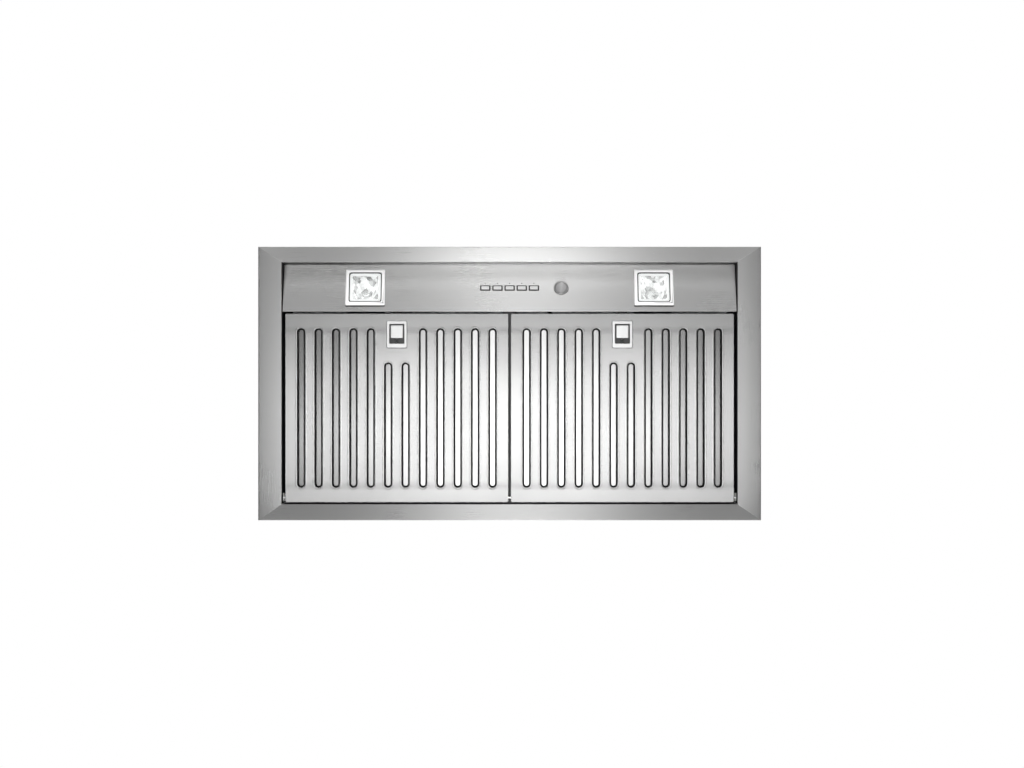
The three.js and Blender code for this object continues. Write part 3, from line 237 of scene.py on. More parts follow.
# a block with round corners whose lower and upper edges are rounded: rings of an inset that follows a
# quarter circle at each end, closed by a flat face there
def block(halfX, halfY, corner, low, high, lowRound=0.4, highRound=0.4, steps=5, centre=(0, 0)):
    made = Surface()
    path = rectPath(halfX - corner, halfY - corner, steps)
    lower = arc((corner - lowRound, low + lowRound), lowRound, -90, 0, 4)
    upper = arc((corner - highRound, high - highRound), highRound, 0, 90, 4)
    lowHold = [(0.2 * (corner - lowRound), low)]
    highHold = [(0.2 * (corner - highRound), high)]
    closedTube(made, carry(path, np.concatenate([lowHold, lower, upper, highHold]), centre))
    return made


def mergePoints(work):
    bmesh.ops.remove_doubles(work, verts=work.verts, dist=mergeWithin)
    bmesh.ops.dissolve_degenerate(work, edges=work.edges, dist=1e-7)


def shadeRound(mesh, sharp):  # only the edges that turn by more than this many degrees stay sharp
    mesh.polygons.foreach_set("use_smooth", np.ones(len(mesh.polygons), bool))
    mesh.set_sharp_from_angle(angle=math.radians(sharp))


# the piece's mesh with its modifiers applied
def applied(piece):
    bpy.context.view_layer.update()
    done = bpy.data.meshes.new_from_object(piece.evaluated_get(bpy.context.evaluated_depsgraph_get()))
    old = piece.data
    piece.modifiers.clear()
    piece.data = done
    bpy.data.meshes.remove(old)
    done.name = piece.name
    return done


# a surface as a piece of the model: place puts its points in the world, sheet gives an open surface that
# thickness behind the side that faces the way "facing", and bevel softens its edges
def makePiece(name, surface, body, material, replaced=(), place=None, sheet=0, facing=None, sharp=40,
              bevel=0):
    points = np.concatenate(surface.points)
    if place:
        points = place(points)
    mesh = bpy.data.meshes.new(name)
    mesh.from_pydata((points * mm).tolist(), [], surface.faces)
    work = bmesh.new()
    work.from_mesh(mesh)
    mergePoints(work)
    bmesh.ops.recalc_face_normals(work, faces=work.faces)
    if facing is not None:
        way = Vector(facing)
        if sum((f.normal * f.calc_area()).dot(way) for f in work.faces) < 0:
            bmesh.ops.reverse_faces(work, faces=work.faces)
    work.to_mesh(mesh)
    work.free()
    piece = bpy.data.objects.new(name, mesh)
    bpy.context.scene.collection.objects.link(piece)
    if sheet:
        wall = piece.modifiers.new("wall", "SOLIDIFY")
        wall.thickness = sheet * mm
        wall.offset = -1
        wall.use_even_offset = True
    if bevel:
        edge = piece.modifiers.new("edge", "BEVEL")
        edge.width = bevel * mm
        edge.segments = 2
        edge.limit_method = "ANGLE"
        edge.angle_limit = math.radians(50)
    if sheet or bevel:
        mesh = applied(piece)
    shadeRound(mesh, sharp)
    mesh.materials.clear()
    mesh.materials.append(material)
    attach(piece, body)
    if replaced:
        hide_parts(*replaced)
    return piece


# writes the mark "shade" on a piece; value works it out from the points in millimetres
def markShade(piece, value):
    mesh = piece.data
    points = np.empty(len(mesh.vertices) * 3)
    mesh.vertices.foreach_get("co", points)
    mark = mesh.attributes.new("shade", "FLOAT", "POINT")
    mark.data.foreach_set("value", value(points.reshape(-1, 3) / mm).astype(np.float32))


# gives sockets of a node their values; a value that is a socket itself is linked
def feed(tree, node, values):
    for socket, value in values.items():
        if isinstance(value, bpy.types.NodeSocket):
            tree.links.new(value, node.inputs[socket])
        else:
            node.inputs[socket].default_value = value


def addNode(tree, kind, values, **settings):
    node = tree.nodes.new("ShaderNode" + kind)
    for name, setting in settings.items():
        setattr(node, name, setting)
    feed(tree, node, values)
    return node


def calculate(tree, operation, first, second=0.0, clampIt=False):
    return addNode(tree, "Math", {0: first, 1: second}, operation=operation, use_clamp=clampIt).outputs[0]


# a value from one range as a value in another, held at that range's ends
def rescale(tree, value, fromMin, fromMax, toMin, toMax, interpolation="LINEAR"):
    values = {"Value": value, "From Min": fromMin, "From Max": fromMax, "To Min": toMin, "To Max": toMax}
    return addNode(tree, "MapRange", values, interpolation_type=interpolation).outputs["Result"]


def objectPlace(tree):
    return addNode(tree, "TexCoord", {}).outputs["Object"]


def liftNormal(tree, shader, height, strength):
    lift = addNode(tree, "Bump", {"Strength": strength, "Distance": 0.0002, "Height": height})
    feed(tree, shader, {"Normal": lift.outputs["Normal"]})


def newGroup(name, inputs, outputs):
    group = bpy.data.node_groups.new(name, "ShaderNodeTree")
    for way, sockets in (("INPUT", inputs), ("OUTPUT", outputs)):
        for socketName, kind in sockets:
            group.interface.new_socket(socketName, in_out=way, socket_type="NodeSocket" + kind)
    return group, group.nodes.new("NodeGroupInput").outputs, group.nodes.new("NodeGroupOutput")


def newMaterial(name):
    material = bpy.data.materials.new(name)
    material.use_nodes = True
    tree = material.node_tree
    return material, tree, tree.nodes["Principled BSDF"]


# shared effect: fine brush strokes and faint hand smudges. Stretched noise runs along the grain, and its
# value lifts or lowers the colour, the roughness and the height a little.
def brushGroup():
    group, given, out = newGroup(
        "brushed",
        (("Color", "Color"), ("Stretch", "Vector"), ("Contrast", "Float"), ("Roughness", "Float"),
         ("Smudge", "Float")),
        (("Color", "Color"), ("Roughness", "Float"), ("Height", "Float")),
    )
    place = objectPlace(group)
    along = addNode(group, "VectorMath", {0: place, 1: given["Stretch"]}, operation="MULTIPLY").outputs[0]
    strokes = addNode(group, "TexNoise", {"Vector": along, "Scale": 1, "Detail": 4, "Roughness": 0.65})
    smudges = addNode(group, "TexNoise", {"Vector": place, "Scale": 9, "Detail": 3})
    centred = calculate(group, "SUBTRACT", strokes.outputs["Fac"], 0.5)
    smudge = calculate(group, "SUBTRACT", smudges.outputs["Fac"], 0.5)
    shade = calculate(group, "ADD", calculate(group, "MULTIPLY", centred, given["Contrast"]), 1)
    stain = calculate(group, "MULTIPLY", smudge, calculate(group, "MULTIPLY", given["Smudge"], 0.6))
    tone = calculate(group, "ADD", shade, stain)
    scaled = addNode(group, "VectorMath", {0: given["Color"], "Scale": tone}, operation="SCALE")
    rough = calculate(group, "ADD", given["Roughness"], calculate(group, "MULTIPLY", centred, 0.03))
    rough = calculate(group, "ADD", rough, calculate(group, "MULTIPLY", smudge, given["Smudge"]), True)
    feed(group, out, {"Color": scaled.outputs[0], "Roughness": rough, "Height": strokes.outputs["Fac"]})
    return group


brushed = brushGroup()

# for each way that strokes run: how often their noise turns per metre along X, Y and Z, and their axis
grains = {
    "x": ((9, 3200, 3200), "X"),
    "y": ((3200, 9, 3200), "Y"),
    "none": ((260, 260, 260), None),
}


def ringTangent(tree, axis):
    return addNode(tree, "Tangent", {}, direction_type="RADIAL", axis=axis).outputs["Tangent"]


def steelMaterial(name, color, roughness, grain="none", contrast=0.04, anisotropy=0.8, smudge=0.04,
                  bump=0.0004):
    material, tree, shader = newMaterial(name)
    stretch, axis = grains[grain]
    look = {"Color": (*color, 1), "Stretch": stretch, "Contrast": contrast, "Roughness": roughness,
            "Smudge": smudge}
    effect = addNode(tree, "Group", look, node_tree=brushed)
    feed(tree, shader, {"Base Color": effect.outputs["Color"], "Roughness": effect.outputs["Roughness"],
                        "Metallic": 1})
    if bump:
        liftNormal(tree, shader, effect.outputs["Height"], bump)
    if axis:
        feed(tree, shader, {"Anisotropic": anisotropy, "Tangent": ringTangent(tree, axis)})
    return material, tree, shader, effect


# a pale enamel-like finish with a painted glow, standing in for the lamp beside it lighting it up
def litFinish(name, tone, strength):
    color = (tone, tone, tone)
    material, tree, shader, _ = steelMaterial(name, color, 0.3, contrast=0.02, smudge=0.02, bump=0)
    feed(tree, shader, {"Metallic": 0, "Emission Color": (1, 1, 1, 1), "Emission Strength": strength})
    return material


def plasticMaterial(name, color, roughness):
    material, tree, shader = newMaterial(name)
    noise = addNode(tree, "TexNoise", {"Vector": objectPlace(tree), "Scale": 900, "Detail": 2}).outputs["Fac"]
    darker = [c * 0.93 for c in color]
    tone = addNode(tree, "MixRGB", {"Fac": noise, "Color1": (*color, 1), "Color2": (*darker, 1)})
    feed(tree, shader, {"Roughness": roughness, "Base Color": tone.outputs["Color"]})
    liftNormal(tree, shader, noise, 0.05)
    return material


def glassMaterial(name, color, roughness):
    material, tree, shader = newMaterial(name)
    haze = addNode(tree, "TexNoise", {"Vector": objectPlace(tree), "Scale": 40}).outputs["Fac"]
    feed(tree, shader, {
        "Base Color": (*color, 1),
        "Roughness": rescale(tree, haze, 0, 1, roughness * 0.5, roughness * 1.5),
        "Transmission Weight": 1,
        "IOR": 1.45,
    })
    return material, tree, shader


# zinc spangle: each cell of a cell pattern has its own grey, which sets its tone and its roughness
def galvanisedMaterial(name, color, roughness):
    material, tree, shader = newMaterial(name)
    spangle = addNode(tree, "TexVoronoi", {"Vector": objectPlace(tree), "Scale": 85, "Randomness": 1})
    grey = addNode(tree, "RGBToBW", {"Color": spangle.outputs["Color"]}).outputs["Val"]
    shade = rescale(tree, grey, 0, 1, 0.86, 1.12)
    tone = addNode(tree, "HueSaturation", {"Color": (*color, 1), "Value": shade})
    feed(tree, shader, {
        "Base Color": tone.outputs["Color"],
        "Roughness": rescale(tree, grey, 0, 1, roughness - 0.08, roughness + 0.1),
        "Metallic": 1,
    })
    return material


# how strongly a place lies in a band on one object axis: 1 up to near from its centre, and 0 past far
def bandMask(tree, axis, centre, near, far):
    parts = addNode(tree, "SeparateXYZ", {0: objectPlace(tree)})
    away = calculate(tree, "SUBTRACT", parts.outputs[axis], centre)
    return rescale(tree, calculate(tree, "ABSOLUTE", away), near, far, 1, 0, "SMOOTHSTEP")


# an amount joined with a share of a mask
def withMask(tree, operation, amount, mask, share):
    return calculate(tree, operation, amount, calculate(tree, "MULTIPLY", mask, share), True)


# where a mesh carries the mark "shade", its steel is painted a dull dark tone: painted shade and dark
# reflection on the rolled lips and the unlit inner walls.
# Only keeps the mark to one band, and each of the bands paints shade alone, by its share.
def darkenMarked(made, tone, only=None, bands=()):
    material, tree, shader, effect = made
    marked = addNode(tree, "Attribute", {}, attribute_name="shade").outputs["Fac"]
    if only:
        marked = withMask(tree, "MULTIPLY", marked, bandMask(tree, *only), 1)
    amount = marked
    for band, share in bands:
        amount = withMask(tree, "ADD", amount, bandMask(tree, *band), share)
    mix = addNode(tree, "MixRGB", {"Fac": amount, "Color1": effect.outputs["Color"],
                                   "Color2": (tone, tone, tone, 1)})
    feed(tree, shader, {
        "Base Color": mix.outputs["Color"],
        "Roughness": calculate(tree, "MAXIMUM", marked, effect.outputs["Roughness"]),
        "Metallic": calculate(tree, "SUBTRACT", 1, marked),
    })
    return material


upperWall = ("Z", 0.1, 0.06, 0.063)  # painted shade: the front wall is dark only high up, above what the panel mirrors
filterBands = (  # painted shade: bands across the slots' two ends, and a wide one over the front
    (("Y", -0.0925, 0.0, 0.011), 0.12),
    (("Y", 0.178, 0.0, 0.011), 0.12),
    (("Y", -0.13, 0.0, 0.13), 0.25),
)
panelSteel = steelMaterial("brushedAlongX", (0.6, 0.6, 0.597), 0.28, "x", contrast=0.02, anisotropy=1)[0]
# the front, rear and side flanges are one steel; their different tones are painted light and shade
frontSteel = steelMaterial("flangeFront", (0.55, 0.55, 0.547), 0.28, "x", contrast=0.03, anisotropy=1)
rearSteel = steelMaterial("flangeRear", (0.35, 0.35, 0.348), 0.28, "x", contrast=0.05, anisotropy=1)
sideSteel = steelMaterial("brushedAlongY", (0.47, 0.47, 0.468), 0.28, "y", contrast=0.05)
faceSteel = steelMaterial("filterSteel", (0.44, 0.44, 0.438), 0.24, "y")
flangeFront = darkenMarked(frontSteel, 0.03, only=upperWall)
flangeRear = darkenMarked(rearSteel, 0.06)
flangeSide = darkenMarked(sideSteel, 0.06)
filterSteel = darkenMarked(faceSteel, 0.01, bands=filterBands)
rearFilterSteel = steelMaterial("rearFilterSteel", (0.28, 0.28, 0.279), 0.13, "x", smudge=0.03)[0]
polished = steelMaterial("polishedSteel", (0.82, 0.82, 0.82), 0.12, contrast=0.03, smudge=0.03, bump=0)[0]
# painted light: the bezel and the reflector's rim glow
bezelFinish = litFinish("bezelFinish", 0.98, 0.25)
satin, satinTree, satinShader, _ = steelMaterial("satinSteel", (0.66, 0.66, 0.66), 0.22, bump=0)
feed(satinTree, satinShader, {"Metallic": 0.4})
galvanised = galvanisedMaterial("galvanised", (0.56, 0.58, 0.59), 0.42)
castAluminium = steelMaterial("castAluminium", (0.5, 0.5, 0.51), 0.5, contrast=0.15, smudge=0.08, bump=0.1)[0]
springSteel = steelMaterial("springSteel", (0.42, 0.42, 0.43), 0.3, contrast=0.05)[0]
# painted shade: near-black steel for parts that sit in shade
oiledSteel = steelMaterial("oiledSteel", (0.09, 0.09, 0.09), 0.35, contrast=0.1, smudge=0.1)[0]
screwSteel = steelMaterial("screwSteel", (0.62, 0.63, 0.64), 0.3, contrast=0.08)[0]
whitePlastic = plasticMaterial("whitePlastic", (0.86, 0.86, 0.855), 0.3)
greyPlastic = plasticMaterial("greyPlastic", (0.1, 0.1, 0.1), 0.5)
darkPlastic = plasticMaterial("darkPlastic", (0.022, 0.022, 0.023), 0.5)
clearGlass = glassMaterial("clearGlass", (0.97, 0.985, 0.98), 0.03)[0]


# the reflector's facets glow with painted light and reflection, standing in for the lamp lighting them: each
# cell of a cell pattern has its own grey
def facetMaterial():
    material, tree, shader, _ = steelMaterial("reflectorSteel", (0.6, 0.6, 0.6), 0.16, contrast=0.05,
                                              smudge=0.1, bump=0.1)
    cells = addNode(tree, "TexVoronoi", {"Vector": objectPlace(tree), "Scale": 130})
    grey = addNode(tree, "RGBToBW", {"Color": cells.outputs["Color"]}).outputs["Val"]
    feed(tree, shader, {"Emission Color": rescale(tree, grey, 0.25, 0.6, 0, 1), "Emission Strength": 0.55})
    return material


# frosted glass with a faint warm glow
def lampMaterial():
    material, tree, shader = glassMaterial("frostedGlass", (0.9, 0.91, 0.91), 0.12)
    feed(tree, shader, {"Emission Color": (1, 0.985, 0.96, 1), "Emission Strength": 0.06})
    return material


# turned rings spread the shine across themselves
def spunMaterial():
    material, tree, shader, _ = steelMaterial("spunSteel", (0.5, 0.5, 0.5), 0.3, contrast=0.05)
    feed(tree, shader, {"Anisotropic": 0.85, "Anisotropic Rotation": 0.25, "Tangent": ringTangent(tree, "Z")})
    return material


reflectorSteel = facetMaterial()
litRim = litFinish("litRim", 0.95, 0.55)
frostedGlass = lampMaterial()
spunSteel = spunMaterial()

cadLooks = {
    "body_steel": flangeSide,
    "filter_steel": filterSteel,
    "polished_steel": polished,
    "galvanised_steel": galvanised,
    "cast_aluminium": castAluminium,
    "white_plastic": whitePlastic,
    "dark_plastic": darkPlastic,
    "clear_glass": clearGlass,
    "spring_steel": springSteel,
}


# each CAD node gets the finish of its material slot, and what sits in shade gets a near-black steel, a painted
# shade
def dressNodes():
    for row in frame["record"]["subparts"]:
        node = row["node"]
        shaded = node.endswith("latch_guide") or node == "centre_rail"
        look = oiledSteel if shaded else cadLooks[row["material_slot"]]
        slots = nodes[node].data.materials
        if not len(slots):
            slots.append(look)
        for i in range(len(slots)):
            slots[i] = look


dressNodes()
print("materials made")

bodyShape = {
    "sheet": 1.2,
    "fold": 0.5,
    "openHalf": 396.0,
    "topReturn": 12.0,
    "mitreGap": 0.16,
    "edgeWidth": 2.2,  # the flange's outer edge turns up a little over this width
    "edgeRise": 0.35,
    "edgeBend": 0.3,  # the part of that rise that is reached half way
    "stations": 9,
    "shadeStart": 0.2,  # the inner walls' painted shade starts this far above the flange's face
    "shadeOver": 0.5,
    "shadeSlack": 0.3,  # and reaches this far behind the walls' inner side
}


# the painted shade mark of the canopy's inner walls: 1 above the fold, on the side that faces the opening
def wallShade(points, openFront, openRear):
    s = bodyShape
    x, y, z = points.T
    slack = s["shadeSlack"]
    within = (np.abs(x) < s["openHalf"] + slack) & (y > openFront - slack) & (y < openRear + slack)
    return np.clip((z - s["shadeStart"]) / s["shadeOver"], 0, 1) * within


# four panels: a flange outwards, a fold, a wall up and a return inwards. Their section is (u, w), with u
# measured outwards from the opening's edge, and their ends move outwards with u, so that they meet in mitres
def buildBody():
    s = bodyShape
    frontLow, frontHigh = limits("front_panel")
    rearLow, rearHigh = limits("rear_panel")
    top = frontHigh[2] - s["sheet"]
    openX = s["openHalf"]
    openFront = frontHigh[1] - s["topReturn"]
    openRear = rearLow[1] + s["topReturn"]
    frontWidth = openFront - frontLow[1]
    rearWidth = rearHigh[1] - openRear
    sideWidth = -limits("left_panel")[0][0] - openX
    panels = {  # flange width, ends of the opening, how far each end moves as u grows by 1, placing, finish
        "front": (frontWidth, -openX, openX, sideWidth / frontWidth, sideWidth / frontWidth,
                  lambda u, a, w: (-a, openFront - u, w), flangeFront),
        "rear": (rearWidth, -openX, openX, sideWidth / rearWidth, sideWidth / rearWidth,
                 lambda u, a, w: (a, openRear + u, w), flangeRear),
        "left": (sideWidth, openFront, openRear, frontWidth / sideWidth, rearWidth / sideWidth,
                 lambda u, a, w: (-openX - u, a, w), flangeSide),
        "right": (sideWidth, openFront, openRear, frontWidth / sideWidth, rearWidth / sideWidth,
                  lambda u, a, w: (openX + u, a, w), flangeSide),
    }
    gap = s["mitreGap"] / 2
    rise, edge = s["edgeRise"], s["edgeWidth"]
    for name, (width, start, end, startSlope, endSlope, place, look) in panels.items():
        corners = [(width - edge, 0), (0, 0), (0, top), (-s["topReturn"], top)]
        tip = np.array([(width, rise), (width - 0.5 * edge, s["edgeBend"] * rise)])
        line = np.concatenate([tip, foldLine(corners, s["fold"])])
        u, w = line[:, 0], line[:, 1]
        first, last = start - u * startSlope + gap, end + u * endSlope - gap
        along = first[:, None] + (last - first)[:, None] * np.linspace(0, 1, s["stations"])[None]
        u, w = (np.broadcast_to(v[:, None], along.shape) for v in (u, w))
        surface = Surface()
        surface.grid(np.stack(np.broadcast_arrays(*place(u, along, w)), 2))
        panel = makePiece(f"{name}BodyPanel", surface, "liner", look, [f"{name}_panel"],
                          sheet=s["sheet"], facing=(0, 0, -1))
        markShade(panel, lambda points: wallShade(points, openFront, openRear))
    print("body panels made")


buildBody()

panelShape = {
    "tilt": math.radians(24),
    "sheet": 1.2,
    "fold": 0.6,
    "halfLength": 394.4,
    "faceRecess": 3.0,
    "slopeStart": -208.0,
    "slopePast": 0.4,  # how far the slope's rear edge stands behind the CAD's
    "rearTop": 25.7,
    "lip": 12.0,
    "lipRows": 9,  # rows of faces in the lip and most of its bend
    "lipGap": 1.0,  # the lip stops this far from a light box
    "holeRound": 0.5,
    "lightHole": (29.9, 29.9, 3.0),  # half sizes and corner radius
    "buttonHole": (8.7, 5.1, 1.5),
    "discX": 90.0,
}
tilt = panelShape["tilt"]
panelLow, panelHigh = limits("control_panel")
slopeRear = np.array([panelHigh[1] + panelShape["slopePast"], panelShape["faceRecess"]])
slopeDepth = slopeRear[0] - panelShape["slopeStart"]
slopeFront = np.array([panelShape["slopeStart"], slopeRear[1] + slopeDepth * math.tan(tilt)])
panelOrigin = (slopeFront + slopeRear) / 2
panelFacing = (0, -math.sin(tilt), -math.cos(tilt))
lightX = sum(v[0] for v in limits("light_right_bezel")) / 2
buttonXs = [sum(v[0] for v in limits(f"button_{i}")) / 2 for i in range(1, 6)]


# from the panel's own frame (x, down its slope, up through it) to the world
def onPanel(points):
    x, y, z = np.moveaxis(np.asarray(points, float), -1, 0)
    worldY = panelOrigin[0] + y * math.cos(tilt) + z * math.sin(tilt)
    worldZ = panelOrigin[1] - y * math.sin(tilt) + z * math.cos(tilt)
    return np.stack([x, worldY, worldZ], -1)


# a folded sheet: from the middle of its slope one section runs to the front return and one to the rear lip,
# each drawn out along x, and the slope between them is a sheet with holes whose edges turn up
def buildControlPanel():
    s = panelShape
    half, top, rearTop = s["halfLength"], panelHigh[2], s["rearTop"]
    frontCorners = [panelOrigin, slopeFront, (slopeFront[0], top), (panelLow[1], top)]
    rearCorners = [panelOrigin, slopeRear, (slopeRear[0], rearTop), (slopeRear[0] - s["lip"], rearTop)]
    surface = Surface()
    boxLow, boxHigh = limits("light_right_box")
    near, far = boxLow[0] - s["lipGap"], boxHigh[0] + s["lipGap"]
    stations = [-half, -far, -near, near, far, half]
    reach = []
    for corners, isRear in ((frontCorners, False), (rearCorners, True)):
        line = foldLine(corners, s["fold"])[1:]  # from the held point on the slope outwards
        reach.append(np.linalg.norm(line[0] - panelOrigin))
        rows = np.broadcast_arrays(np.array(stations)[None, :], line[:, 0, None], line[:, 1, None])
        keep = None
        if isRear:  # the lip on the rear return is cut away over the two light boxes
            keep = np.ones((len(line) - 1, len(stations) - 1), bool)
            keep[-s["lipRows"]:, [1, 3]] = False
        surface.grid(np.stack(rows, 2), keep=keep)
    outline = [(x, -reach[0]) for x in stations] + [(x, reach[1]) for x in stations[::-1]]
    holes = []
    bend = s["holeRound"]
    cuts = [((side * lightX, 0), *s["lightHole"]) for _, side in sides]
    cuts += [((x, 0), *s["buttonHole"]) for x in buttonXs]
    for centre, halfX, halfY, radius in cuts:
        rim = arc((radius + bend, bend), bend, -90, -180, 5)  # the sheet turns up into the hole
        profile = np.concatenate([[(radius + bend + flatHold, 0)], rim])
        rings = carry(rectPath(halfX - radius, halfY - radius, 5), profile, centre)
        surface.grid(onPanel(rings), closeColumns=True)
        holes.append(plan(rings[0]))
    surface.sheet(outline, holes, lambda points: onPanel(level(0)(points)))
    makePiece("controlPanelSheet", surface, "liner", panelSteel, ["control_panel"],
              sheet=s["sheet"], facing=panelFacing)
    print("control panel made")


buildControlPanel()

lightShape = {
    "half": 34.25,
    "corner": 1.2,
    "back": -0.3,
    "height": 5.0,
    "chamfer": 2.2,
    "ease": (0.25, 0.12, 0.1),  # a softened edge: flat stretch before it, and the way over and along it
    "overlap": 2.0,  # how far the bezel's back reaches in from its edge
    "openHalf": 28.7,
    "openCorner": 3.0,
    "openRound": 0.6,
    "collarTop": 7.0,
    "collar": 0.9,
    "gasketOut": 0.15,
    "gasketDown": 0.9,  # the painted shadow ring shows along the bezel's lower edge
    "gasketDepth": (0.05, 2.6),
    "gasketWall": 0.4,
    "glassHalf": 27.0,
    "glassTop": -0.8,
    "glassFace": -3.8,
    "glassEdges": (0.8, 0.4),  # radius of its edge at the face and of the one behind
    "sealIn": 0.1,
    "sealWidth": 1.75,
    "sealHeight": (-0.1, 1.2),  # from the glass's face
    "reflectorGap": 0.3,
    "reflectorDepth": 24.0,
    "reflectorSheet": 0.5,
    "reflectorCorner": 1.0,
    "mouthHalf": 22.5,
    "mouthLip": 0.4,
    "throatHalf": 9.0,
    "throatCurve": 0.75,  # the power of the reflector's curve
    "rim": (0.3, 4.7),  # from the mouth's half width outwards
    "lampRadius": 4.5,
    "lampTop": 29.2,
    "lampLength": 19.0,
    "lampShoulder": (0.6, 1.2),
    "lampTip": 0.02,
}


# the bezel: a chamfered bar carried round a square, with a collar that goes through the sheet
def buildBezel(name, centre):
    s = lightShape
    surface = Surface()
    c, r, cut, face, back = s["corner"], s["openCorner"], s["chamfer"], -s["height"], s["back"]
    hold, over, near = s["ease"]
    outer = [(c - s["overlap"], back), (c, back), (c, face + cut + hold), (c - over, face + cut - near),
             (c - cut + near, face + over), (c - cut - hold, face)]
    outerRings = carry(rectPath(s["half"] - c, s["half"] - c, 5), outer, centre)
    bend = s["openRound"]
    inner = [(r + bend, face), (r + bend / 2, face + bend / 10), (r + bend / 10, face + bend / 2),
             (r, face + bend), (r, s["collarTop"]), (r + s["collar"], s["collarTop"]), (r + s["collar"], back)]
    innerRings = carry(rectPath(s["openHalf"] - r, s["openHalf"] - r, 5), inner, centre)
    surface.grid(outerRings, closeColumns=True)
    surface.grid(innerRings, closeColumns=True)
    surface.sheet(plan(outerRings[-1]), [plan(innerRings[0])], level(face))
    surface.sheet(plan(outerRings[0]), [plan(innerRings[-1])], level(back))
    makePiece(f"light{name.capitalize()}Bezel", surface, "liner", bezelFinish,
              [f"light_{name}_bezel"], place=onPanel, sharp=25)


# a dark ring under the bezel, a painted shadow: a ring of four faces carried round the bezel's square
def buildShadowRing(name, centre):
    s = lightShape
    ring = Surface()
    c = s["corner"]
    edge = s["half"] + s["gasketOut"] - c
    high, low = s["gasketDepth"]
    profile = [(c - s["overlap"], -high), (c, -high), (c, -low), (c - s["gasketWall"], -low)]
    ring.grid(carry(rectPath(edge, edge, 3), profile, (centre[0], s["gasketDown"])), closeRows=True,
              closeColumns=True)
    makePiece(f"light{name.capitalize()}ShadowRing", ring, "liner", darkPlastic, place=onPanel)


# the glass: a thick pane with ground edges, in a dark seal of four faces carried round it
def buildGlass(name, centre):
    s, r = lightShape, lightShape["openCorner"]
    title = name.capitalize()
    pane = block(s["glassHalf"], s["glassHalf"], r, s["glassFace"], s["glassTop"], *s["glassEdges"],
                 centre=centre)
    makePiece(f"light{title}Glass", pane, "liner", clearGlass, [f"light_{name}_glass"],
              place=onPanel)
    seal = Surface()
    edge = s["glassHalf"] - s["sealIn"] - r
    low, high = (s["glassFace"] + height for height in s["sealHeight"])
    profile = [(r, high), (r, low), (r + s["sealWidth"], low), (r + s["sealWidth"], high)]
    seal.grid(carry(rectPath(edge, edge, 4), profile, centre), closeRows=True, closeColumns=True)
    makePiece(f"light{title}Seal", seal, "liner", darkPlastic, [f"light_{name}_glass"],
              place=onPanel)


# the reflector: squares that narrow, ever faster, towards a closed throat, behind a flat rim
def buildReflector(name, centre):
    s = lightShape
    title = name.capitalize()
    height = s["glassTop"] + s["reflectorGap"]
    rim = Surface()
    corner = s["reflectorCorner"]
    edge = s["mouthHalf"] - corner
    profile = [(corner + out, height) for out in s["rim"]]
    rim.grid(carry(rectPath(edge, edge, 2), profile, centre), closeColumns=True)
    makePiece(f"light{title}Rim", rim, "liner", litRim, [f"light_{name}_reflector"],
              place=onPanel, sheet=s["reflectorSheet"], facing=panelFacing)
    depth = np.linspace(0, 1, 5)
    half = s["throatHalf"] + (s["mouthHalf"] - s["throatHalf"]) * (1 - depth) ** s["throatCurve"]
    inset = np.concatenate([[s["mouthHalf"] + s["mouthLip"]], half]) - corner
    heights = height + np.concatenate([[0], s["reflectorDepth"] * depth])
    rings = [carry(rectPath(x, x, 2), [(corner, z)], centre) for x, z in zip(inset, heights)]
    rings = np.concatenate(rings)
    shell = Surface()
    shell.grid(rings, closeColumns=True)
    shell.polygon(rings[-1])
    makePiece(f"light{title}Reflector", shell, "liner", reflectorSteel,
              [f"light_{name}_reflector"], place=onPanel, sheet=s["reflectorSheet"], facing=panelFacing,
              sharp=12)


# the lamp: a capsule turned about its own axis, round at its tip and with a small shoulder at its foot
def buildLamp(name, centre):
    s = lightShape
    radius, top = s["lampRadius"], s["lampTop"]
    inward, down = s["lampShoulder"]
    tip = arc((0, top - s["lampLength"] + radius), radius, -90, 0, 8)
    profile = np.concatenate([tip, [(radius, top - down), (radius - inward, top)]])
    profile[0, 0] = s["lampTip"]
    capsule = Surface()
    closedTube(capsule, turned(profile, 24, (centre[0], 0, 0)))
    makePiece(f"light{name.capitalize()}Lamp", capsule, "liner", frostedGlass,
              [f"light_{name}_lamp"], place=onPanel)


for name, side in sides:
    for buildPart in (buildBezel, buildShadowRing, buildGlass, buildReflector, buildLamp):
        buildPart(name, (side * lightX, 0))
print("lights made")

buttonShape = {
    "half": (6.9, 2.9),
    "corner": 1.0,
    "edges": (0.7, 0.3),  # radius of its edge at the face and of the one behind
    "proud": 2.5,
    "depth": 4.0,
    "stem": (3.0, 1.5, 0.5),  # half sizes and corner radius
    "stemEdges": (0.2, 0.3),
    "stemEnd": 12.0,
    "stemInto": 0.3,
    "pipOffset": -9.1,
    "pip": [(0.05, -0.12), (0.8, -0.12), (0.95, -0.08), (1.0, 0.05)],  # radius and height
    "disc": [(0.05, -1.35), (9.4, -1.5), (10.2, -1.65), (10.8, -1.98), (12.2, -2.0), (12.8, -1.8),
             (13.0, -1.4), (13.0, -0.3)],  # a shallow dish inside a raised rim
}


def buildButtons():
    s = buttonShape
    for i, x in enumerate(buttonXs, 1):
        cap = block(*s["half"], s["corner"], -s["proud"], s["depth"], *s["edges"], centre=(x, 0))
        cap.add(block(*s["stem"], s["depth"] - s["stemInto"], s["stemEnd"], *s["stemEdges"], 2, centre=(x, 0)))
        makePiece(f"button{i}Cap", cap, f"button_{i}", whitePlastic, [f"button_{i}"],
                  place=onPanel)
    for i, x in enumerate(buttonXs, 1):  # a small round pip over each button
        pip = Surface()
        closedTube(pip, turned(s["pip"], 20, (x, s["pipOffset"], 0)))
        makePiece(f"button{i}Pip", pip, "liner", greyPlastic, place=onPanel)
    disc = Surface()
    closedTube(disc, turned(s["disc"], 64, (panelShape["discX"], 0, 0)))
    makePiece("bareDisc", disc, "liner", spunSteel, ["plain_disc"], place=onPanel, sharp=35)
    print("buttons and disc made")


buildButtons()

